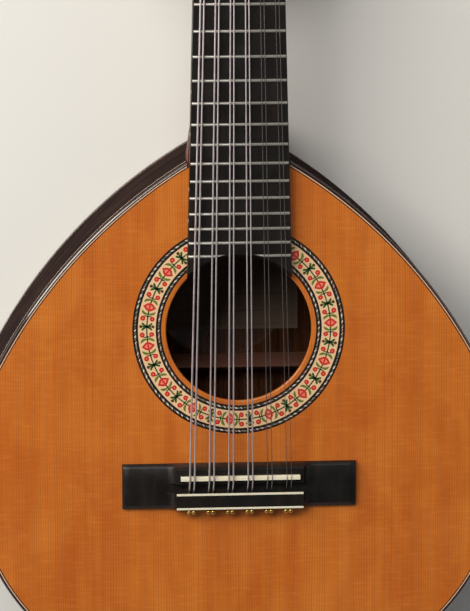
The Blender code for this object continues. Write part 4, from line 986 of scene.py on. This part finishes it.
# Head face
# A rosewood veneer glued over the head, drilled for the twelve posts, its edge eased. Each
# hole has a turned nickel ferrule pressed into it.

VENEER_TOP = 2.3 * MM
POST_ROW_X = 24 * MM
POST_HOLE = 3.4 * MM
FIRST_TUNER = 30 * MM
TUNER_PITCH = 21 * MM


def tuner_places():
    """(side, string number, place along the head), the bass side first, from the nut on."""
    return [(side, row + 1 if side < 0 else 12 - row, FIRST_TUNER + row * TUNER_PITCH)
            for side in (-1, 1) for row in range(6)]


def on_head(x, y, z=0.0):
    """Where a piece on the head stands, level with its tilted face."""
    return HEAD_FRAME @ Matrix.Translation((x, y, z))


def in_mm(profile, base=0.0):
    """A profile of (radius, height) points given in millimetres over the base."""
    return [(radius * MM, base + height * MM) for radius, height in profile]


def plated(name, light, dark, low, high, metallic=1.0):
    """Bright plated or rolled metal, rubbed unevenly by hands."""
    material, tree, shader, rubbed = mottled(
        name, light, dark, {"Scale": 160.0, "Detail": 4.0}, (low, high, 0.004), Metallic=metallic)
    relief(tree, shader, rubbed["Height"], 0.06, 0.00004)
    return material


ROSEWOOD_FACE = dark_wood("rosewood_face", ("X", "Y", "Z"), "4E3026", "281612", "150B08")
NICKEL = plated("nickel_plate", "CFCBC2", "B9B4A8", 0.14, 0.28)
holes = [circle(POST_HOLE, 32, side * POST_ROW_X, y) for side, _, y in tuner_places()]
face_mesh = plate([head_line(GAP)] + holes, GAP, VENEER_TOP, HEAD_FRAME, shift=False)
face = fit("head_face", face_mesh, ROSEWOOD_FACE, stands_for="head_veneer", slot="head_rosewood")
ease_edges(face, 0.5 * MM, 3, 50)
ferrule = turned(in_mm([(3.35, 0.0), (3.35, 0.75), (3.6, 0.95), (4.4, 0.8), (5.0, 0.4),
                        (5.2, 0.0)], VENEER_TOP), 40, shift=False, closed=True)
for side, number, y in tuner_places():
    fit(f"ferrule_{number:02d}", ferrule, NICKEL, matrix=on_head(side * POST_ROW_X, y),
        slot="nickel_plate")


# Fingerboard and frets
# A flat ebony board 6 mm thick, glued on neck and soundboard, its end cut round to follow the
# soundhole. Fourteen nickel silver frets are hammered in, and the last one is cut by that end.

BOARD_TOP = BODY_DEPTH + 6 * MM
BOARD_END_RADIUS = HOLE_RADIUS + 2.2 * MM
BOARD_CORNER_Y = HOLE_Y + 29.5 * MM
EBONY = pored_wood(
    "ebony", ("X", "Y", "Z"), (0.002, 1.0, 0.006, 0.003), (0.5, 0.72, "14110F", "251C17"),
    [("Pores", 0.7, "060505")], (0.3, 0.48, 0.015), (0.15, 0.00005), Specular_IOR_Level=0.35)


def board_ring(radius, z):
    """The board's outline at this height, its end cut round at this radius."""
    corner = math.acos(board_half_width(BOARD_CORNER_Y) / radius)
    loop = sweep(0, HOLE_Y, radius, corner, math.pi - corner, 64)
    loop += [(-NUT_HALF, SCALE_LENGTH), (NUT_HALF, SCALE_LENGTH)]
    return [(x, y, z) for x, y in loop]


# The end stands flush with the hole below and leans back towards the top.
flush_radius = HOLE_RADIUS + 0.25 * MM
board_mesh = loft([
    board_ring(flush_radius, BODY_DEPTH + GAP), board_ring(flush_radius, BODY_DEPTH + 2 * MM),
    board_ring(HOLE_RADIUS + 0.9 * MM, BODY_DEPTH + 4.4 * MM),
    board_ring(BOARD_END_RADIUS, BOARD_TOP)])
board = fit("fingerboard_blank", board_mesh, EBONY, stands_for="fingerboard", slot="ebony",
            smooth=30)
ease_edges(board, 0.25 * MM)

FRET_SILVER = plated("fret_silver", "B9B5AE", "A5A19A", 0.26, 0.38, 0.55)
FRET_CUT = BOARD_END_RADIUS + 0.7 * MM
CROWN = in_mm([(0.76 * math.cos(a), 1.05 * math.sin(a) - 0.1) for a in half_turn(10)])


def fret_end(y, side, way, half=None):
    """Two rings from a fret's end inwards: filed down to the half width, or cut by the arc."""
    step, lowered = (0.8 * MM, 0.3) if half else (0.01 * MM, 1.0)
    return [[(side * (half or math.sqrt(FRET_CUT ** 2 - (y + across - HOLE_Y) ** 2)) + way * inward,
              y + across, BOARD_TOP + rise * height) for across, rise in CROWN]
            for inward, height in ((0, lowered), (step, 1.0))]


def fret_bar(name, left, right):
    fit(name, loft(left + right[::-1]), FRET_SILVER, slot="nickel_plate", smooth=40)


for number in range(1, 15):
    y = SCALE_LENGTH * 2 ** (-number / 12)
    half = board_half_width(y) - 0.4 * MM
    left, right = fret_end(y, -1, 1, half), fret_end(y, 1, -1, half)
    if number < 14:
        fret_bar(f"fret_{number:02d}", left, right)
    else:
        fret_bar("fret_14_left", left, fret_end(y, -1, -1))
        fret_bar("fret_14_right", fret_end(y, 1, 1), right)

PEARL = mottled("pearl_dot", "E9E4DA", "C5C9C4",
                {"Scale": 500.0, "Detail": 2.0, "Distortion": 1.5}, None,
                Coat_Weight=0.5, Coat_Roughness=0.1)[0]
dot = turned(in_mm([(0, 0.35), (0.9, 0.35), (1.0, -0.08), (0, -0.1)]), 20, shift=False)
for number in (5, 7, 10, 12):
    y = SCALE_LENGTH * (2 ** (-number / 12) + 2 ** (-(number - 1) / 12)) / 2
    spot = Matrix.Translation((-board_half_width(y), SADDLE_Y + y, BODY_DEPTH + 3.2 * MM))
    fit(f"side_dot_{number:02d}", dot, PEARL, matrix=spot @ Matrix.Rotation(math.pi / 2, 4, "Y"))


# Nut, bridge and saddle
# Nut and saddle are bone, filed and polished. The bridge is ebony, glued on the soundboard,
# with low wings and a tie block edged with bone, drilled for the twelve strings.

BONE = mottled("bone", "EFE9D8", "DDD2B4", {"Scale": 120.0, "Detail": 4.0}, (0.25, 0.4, 0.006),
               Coat_Weight=0.3, Coat_Roughness=0.15, Subsurface_Weight=0.15,
               Subsurface_Scale=0.002)[0]
for name in ("nut", "saddle"):
    ease_edges(surface(name, BONE), 0.22 * MM)

# Sections through block and wing, as (y, z) in millimetres from the saddle and the soundboard,
# and for each place along the bridge how much of the block there is and of the full height.
BRIDGE_FOOT = BODY_DEPTH + GAP
TIE_TOP = BRIDGE_FOOT + 7.6 * MM
TIE_HALF = 33 * MM
BRIDGE_BLOCK = [(-17, 0), (6.5, 0), (6.5, 3.6), (5.35, 7), (4.35, 8), (-3.2, 8), (-4.2, 3.6),
                (-8.5, 3.6), (-8.5, 7.6), (-16, 7.6), (-17, 6.6)]
BRIDGE_WING = [(-17, 0), (6.5, 0), (6.5, 1.8), (5.6, 3.1), (4.5, 3.6), (-3.2, 3.6), (-4.2, 3.6),
               (-8.5, 3.6), (-8.6, 3.6), (-15.2, 3.3), (-17, 1.8)]
half_bridge = [(33, 1, 1), (33.3, 0.85, 1), (34.2, 0.35, 1), (35.6, 0.08, 1), (38, 0, 1),
               (57, 0, 1), (59.4, 0, 0.95), (60.6, 0, 0.75), (61, 0, 0.35)]
bridge_sections = []
for x, block, tall in [(-x, *shares) for x, *shares in half_bridge[::-1]] + half_bridge:
    bridge_sections.append([
        (x * MM, (by * block + wy * (1 - block)) * MM,
         BRIDGE_FOOT + (bz * block + wz * (1 - block)) * tall * MM)
        for (by, bz), (wy, wz) in zip(BRIDGE_BLOCK, BRIDGE_WING)])
bridge = fit("bridge_block", loft(bridge_sections), EBONY, stands_for="bridge", slot="ebony")
ease_edges(bridge, 0.4 * MM, 3)
for name, rear, front in (("front", -9.5 * MM, -8.42 * MM), ("rear", -16.9 * MM, -15.8 * MM)):
    edge = [(-TIE_HALF, rear), (TIE_HALF, rear), (TIE_HALF, front), (-TIE_HALF, front)]
    edge_mesh = plate([edge], TIE_TOP - 0.9 * MM, TIE_TOP + 0.12 * MM)
    ease_edges(fit("tie_block_edge_" + name, edge_mesh, BONE, slot="bone"), 0.15 * MM)


# Tuning machines
# A nickel plate under each side of the head carries six keys. A worm on each key's shaft turns
# a brass wheel of fourteen teeth on the foot of its post, and a pearl-like button turns the worm.

PLATE_UNDERSIDE = -16.5 * MM
STRING_HOLE_Z = VENEER_TOP + 7 * MM
POST_TOP = VENEER_TOP + 12 * MM
GEAR_Z = -19.1 * MM
GEAR_RADIUS = 4.0 * MM
GEAR_TEETH = 14
WHEEL_HALF = 1.5 * MM
WORM_RADIUS = 1.9 * MM
WORM_LEAD = 2 * math.pi * GEAR_RADIUS / GEAR_TEETH
WORM_HALF = 3.5 * WORM_LEAD / 2
BUTTON_START = 17.5 * MM
BUTTON_LENGTH = 13 * MM
BUTTON_HALF_WIDTH = 7.5 * MM
BUTTON_HALF_THICKNESS = 3.25 * MM
BUTTON_NECK = 0.06
BUTTON_ROUND = 0.6
BRASS = plated("brass_wheel", "C9A45C", "B08A45", 0.2, 0.36)
for name in ("tuner_plate_left", "tuner_plate_right"):
    ease_edges(surface(name, NICKEL), 0.15 * MM)


def cut_by(mesh, cutter_mesh):
    """What is left of a mesh once the other one's shape is taken out of it."""
    blank, cutter = stand("blank", mesh), stand("cutter", cutter_mesh)
    change(blank, "cut", "BOOLEAN", operation="DIFFERENCE", object=cutter)
    return realised(blank, cutter)


post_profile = in_mm([(0, -0.3), (1.6, -0.05), (2.5, 0), (2.9, -0.25), (3.0, -0.7)], POST_TOP)
post_profile += in_mm([(3.0, 2.4), (2.75, 1.9), (2.6, 1.2), (2.6, -1.8), (2.75, -2.5),
                       (3.0, -3)], STRING_HOLE_Z)
post_profile += in_mm([(3.0, 0), (3.6, 0)], PLATE_UNDERSIDE - GAP)
post_profile += in_mm([(3.6, 1.4), (1.2, 1.4), (1.2, -1.4), (0, -1.4)], GEAR_Z)
drill = turned(in_mm([(0, 6), (0.9, 6), (0.9, -6), (0, -6)]), 20, shift=False)
drill.transform(Matrix.Translation((0, 0, STRING_HOLE_Z)) @ Matrix.Rotation(math.pi / 2, 4, "X"))
post_mesh = cut_by(turned(post_profile, 40, shift=False), drill)


def wheel_line(turn):
    """The outline of the toothed wheel, its flanks leaning in towards rounded tips."""
    pitch = 2 * math.pi / GEAR_TEETH
    root, tip = GEAR_RADIUS - 0.6 * MM, GEAR_RADIUS + 0.5 * MM
    flank = [(tip, 0.07), (tip - 0.08 * MM, 0.12), (GEAR_RADIUS, 0.17), (root, 0.255)]
    tooth = [(radius, -offset) for radius, offset in flank[::-1]] + flank
    turns = [(radius, math.pi / 2 + (k + offset) * pitch + turn)
             for k in range(GEAR_TEETH) for radius, offset in tooth]
    return [(radius * math.cos(a), radius * math.sin(a)) for radius, a in turns]


twist = WHEEL_HALF * WORM_LEAD / (2 * math.pi * WORM_RADIUS) / GEAR_RADIUS
wheel_mesh = loft([[(x, y, GEAR_Z + way * WHEEL_HALF) for x, y in wheel_line(way * twist)]
                   for way in (-1, 1)], shift=False)


def slotted_screw(radius, rise):
    """A cheese-headed screw, head down, with its slot cut across."""
    profile = [(0, 0.4 * MM), (radius, 0.4 * MM), (radius, -rise * 0.6), (radius * 0.8, -rise),
               (0, -rise)]
    long, half = radius * 1.2, 0.2 * MM
    slot = plate([[(-long, -half), (long, -half), (long, half), (-long, half)]],
                 -rise * 1.5, -rise * 0.45, shift=False)
    return cut_by(turned(profile, 28, shift=False), slot)


wheel_screw = slotted_screw(2.2 * MM, 1.1 * MM)
plate_screw = slotted_screw(1.7 * MM, 0.7 * MM)

shaft_profile = in_mm([(0, 20), (1.2, 20)])
shaft_profile += in_mm([(1.2, -2.2), (1.9, -2.0), (1.9, -0.4), (1.2, -0.3)], BUTTON_START)
shaft_profile += in_mm([(1.2, 0), (1.3, -0.1)], WORM_HALF)
shaft_profile += in_mm([(1.3, 0), (1.2, -0.1), (1.2, -1.6), (1.0, -1.7), (0, -1.7)], -WORM_HALF)
shaft_mesh = turned(shaft_profile, 24, shift=False)
thread_rings = []
thread_steps, thread_turns, run_out = 60, 2.5, 5
for i in range(thread_steps + 1):
    turn = thread_turns * (i / thread_steps - 0.5)
    rise = WORM_LEAD * (turn - 0.25)
    tip = 1.25 + min(1.0, i / run_out, (thread_steps - i) / run_out) * 1.05
    thread_rings.append([
        (r * math.cos(2 * math.pi * turn), r * math.sin(2 * math.pi * turn), z)
        for r, z in in_mm([(1.1, -0.43), (tip, -0.19), (tip, 0.19), (1.1, 0.43)], rise)])
thread_mesh = loft(thread_rings, shift=False)


def button_ring(share):
    """An oval ring through the button, which swells from its neck to a full rounded end."""
    width = BUTTON_HALF_WIDTH * (0.42 + 0.58 * math.sin(math.pi / 2 * min(share / 0.5, 1)) ** 1.3)
    thick = BUTTON_HALF_THICKNESS * (0.72 + 0.28 * math.sin(math.pi * min(share + 0.1, 1)))
    if share > BUTTON_ROUND:
        closing = math.sqrt(max(1 - ((share - BUTTON_ROUND) / (1 - BUTTON_ROUND)) ** 2, 0))
        width *= 0.25 + 0.75 * closing
        thick *= 0.3 + 0.7 * closing
    if share < BUTTON_NECK:
        width, thick = [size * (0.8 + 0.2 * share / BUTTON_NECK) for size in (width, thick)]
    return [(thick * signed_power(x, 0.85), width * signed_power(y, 0.9),
             BUTTON_START + BUTTON_LENGTH * share) for x, y in circle(1, 36)]


button_mesh = loft([button_ring(share) for share in (
    0, 0.02, 0.06, 0.12, 0.2, 0.3, 0.4, 0.5, 0.6, 0.7, 0.78, 0.85, 0.91, 0.95, 0.98, 1.0)],
                   shift=False)
PEARLOID = mottled("pearl_button", "F1ECE0", "CFC6B2",
                   {"Scale": 260.0, "Detail": 3.0, "Distortion": 2.2}, (0.2, 0.32, 0.01),
                   Coat_Weight=0.8, Coat_Roughness=0.08, Subsurface_Weight=0.1,
                   Subsurface_Scale=0.002)[0]

for side, number, y in tuner_places():
    at_post = on_head(side * POST_ROW_X, y)
    post, key = f"post_{number:02d}", f"key_{number:02d}"
    fit(post + "_barrel", post_mesh, NICKEL, post, at_post, stands_for=post, slot="nickel_plate")
    fit(post + "_wheel", wheel_mesh, BRASS, post, at_post, smooth=30)
    fit(post + "_screw", wheel_screw, NICKEL, post,
        on_head(side * POST_ROW_X, y, GEAR_Z - WHEEL_HALF))
    outward = Matrix(((0, 0, side, 0), (0, 1, 0, 0), (-side, 0, 0, 0), (0, 0, 0, 1)))
    at_key = on_head(side * POST_ROW_X, y + GEAR_RADIUS + WORM_RADIUS, GEAR_Z) @ outward
    fit(key + "_button", button_mesh, PEARLOID, key, at_key, stands_for=key, slot="key_button",
        smooth=60)
    fit(key + "_shaft", shaft_mesh, NICKEL, key, at_key, slot="nickel_plate")
    fit(key + "_worm", thread_mesh, NICKEL, key, at_key)

SCREW_OFFSET = 6 * MM
END_SCREWS = (FIRST_TUNER - 6 * MM, FIRST_TUNER + 5 * TUNER_PITCH + 12 * MM)
for side, side_name in ((-1, "left"), (1, "right")):
    inner_x = side * (POST_ROW_X - SCREW_OFFSET)
    outer_x = side * (POST_ROW_X + SCREW_OFFSET)
    places = [(inner_x, FIRST_TUNER + (row - 0.42) * TUNER_PITCH) for row in range(1, 6)]
    for x in (inner_x, outer_x):
        places += [(x, y) for y in END_SCREWS]
    for i, (x, y) in enumerate(places):
        fit(f"plate_screw_{side_name}_{i + 1}", plate_screw, NICKEL,
            matrix=on_head(x, y, PLATE_UNDERSIDE) @ Matrix.Rotation(0.7 * i, 4, "Z"))


# Strings
# Twelve steel strings in six pairs, the four lower pairs wound. Each ends in a brass ball behind
# the tie block, runs over saddle and nut, winds round its post and goes through the hole in it.

COURSE_RADII = (0.50, 0.46, 0.42, 0.37, 0.20, 0.15)
NUT_COURSE, NUT_PAIR = 7.45 * MM, 1.75 * MM
SADDLE_COURSE, SADDLE_PAIR = 10.1 * MM, 2.4 * MM
WAIST_RADIUS = 2.65 * MM
SADDLE_TOP = BODY_DEPTH + 10.7 * MM
NUT_SLOT_TOP = BOARD_TOP + 1.0 * MM
SLOT_REST = 0.2 * MM
TIE_HOLE_Z = BODY_DEPTH + 5.2 * MM
TIE_REAR, TIE_FRONT = -17.6 * MM, -8.5 * MM
BALL_Y = -18.6 * MM
BEND_RADIUS = 1.0 * MM
COIL_STEPS = 24
COIL_PITCH = 2.1


def wire_finish(name, light, dark, low, high, winding=None):
    material, tree, shader, _ = mottled(name, light, dark, {"Scale": 300.0, "Detail": 2.0},
                                        (low, high, 0.01), Metallic=1.0)
    if winding:
        along = lay(tree, "SeparateXYZ", Vector=place_of(tree)).outputs["Y"]
        wave = maths(tree, "SINE", times(tree, along, 2 * math.pi / winding))
        relief(tree, shader, wave, 0.25, 0.00002)
    return material


def wire(name, points, radius, material, body="instrument", matrix=None, **more):
    """A length of string through these points."""
    curve = bpy.data.curves.new(name, "CURVE")
    curve.dimensions = "3D"
    curve.bevel_depth = radius
    curve.bevel_resolution = 3
    curve.use_fill_caps = True
    draw(curve, points).use_smooth = True
    fit(name, curve, material, body, matrix, smooth=0, **more)


def rounded(points, radius, steps=5):
    """The run with each corner bent over a small radius, as a string bends over bone."""
    run = [points[0]]
    for before, corner_point, after in zip(points, points[1:], points[2:]):
        into = (before - corner_point).normalized() * radius
        away = (after - corner_point).normalized() * radius
        for i in range(steps + 1):
            t = i / steps
            run.append(corner_point + into * (1 - t) ** 2 + away * t ** 2)
    return run + [points[-1]]


WOUND = wire_finish("wound_wire", "E5DCDF", "CBC1C4", 0.36, 0.46, winding=0.22 * MM)
PLAIN = wire_finish("plain_wire", "A9A6A3", "8F8C89", 0.2, 0.3)
ball_profile = in_mm([(1.5 * math.sin(a), 1.5 * math.cos(a)) for a in half_turn(10)])
ball_mesh = turned(ball_profile, 20, shift=False)
post_of = {number: (side, y) for side, number, y in tuner_places()}
for number in range(1, 13):
    name, post = f"string_{number:02d}", f"post_{number:02d}"
    course, pair = divmod(number - 1, 2)
    material, slot = (WOUND, "wound_string") if course < 4 else (PLAIN, "plain_string")
    radius = COURSE_RADII[course] * MM
    nut_x = (course - 2.5) * NUT_COURSE + (pair - 0.5) * NUT_PAIR
    saddle_x = (course - 2.5) * SADDLE_COURSE + (pair - 0.5) * SADDLE_PAIR
    side, y = post_of[number]
    barrel = WAIST_RADIUS + radius
    over_body = [Vector((x, SADDLE_Y + along, z)) for x, along, z in (
        (saddle_x, TIE_REAR, TIE_HOLE_Z), (saddle_x, TIE_FRONT + radius, TIE_HOLE_Z),
        (saddle_x, -1.1 * MM - radius / 2, SADDLE_TOP + SLOT_REST + radius),
        (nut_x, HEAD_Y, NUT_SLOT_TOP + SLOT_REST + radius))]
    to_post = HEAD_FRAME @ Vector((side * (POST_ROW_X - barrel), y, STRING_HOLE_Z))
    wire(name + "_wire", rounded(over_body + [to_post], BEND_RADIUS), radius, material,
         stands_for=name, slot=slot)
    ball_place = Matrix.Translation((saddle_x, SADDLE_Y + BALL_Y, TIE_HOLE_Z))
    fit(name + "_ball", ball_mesh, BRASS, matrix=ball_place)
    at_post = on_head(side * POST_ROW_X, y)
    start = 0 if side < 0 else math.pi
    turns = 2 if course < 4 else 4
    coil = []
    for i in range(turns * COIL_STEPS + 1):
        a = start - side * 2 * math.pi * i / COIL_STEPS
        coil.append((barrel * math.cos(a), barrel * math.sin(a),
                     STRING_HOLE_Z - COIL_PITCH * radius * i / COIL_STEPS))
    wire(name + "_coil", coil, radius, material, post, at_post)
    through_hole = [(0, v * MM, STRING_HOLE_Z + w * MM)
                    for v, w in ((-4.2, 0), (4.0, 0), (5.2, 0.3), (6.0, 1.0))]
    wire(name + "_end", through_hole, min(radius, 0.45 * MM), material, post, at_post)


# Last step
# The view layer is brought up to date once more.

bpy.context.view_layer.update()
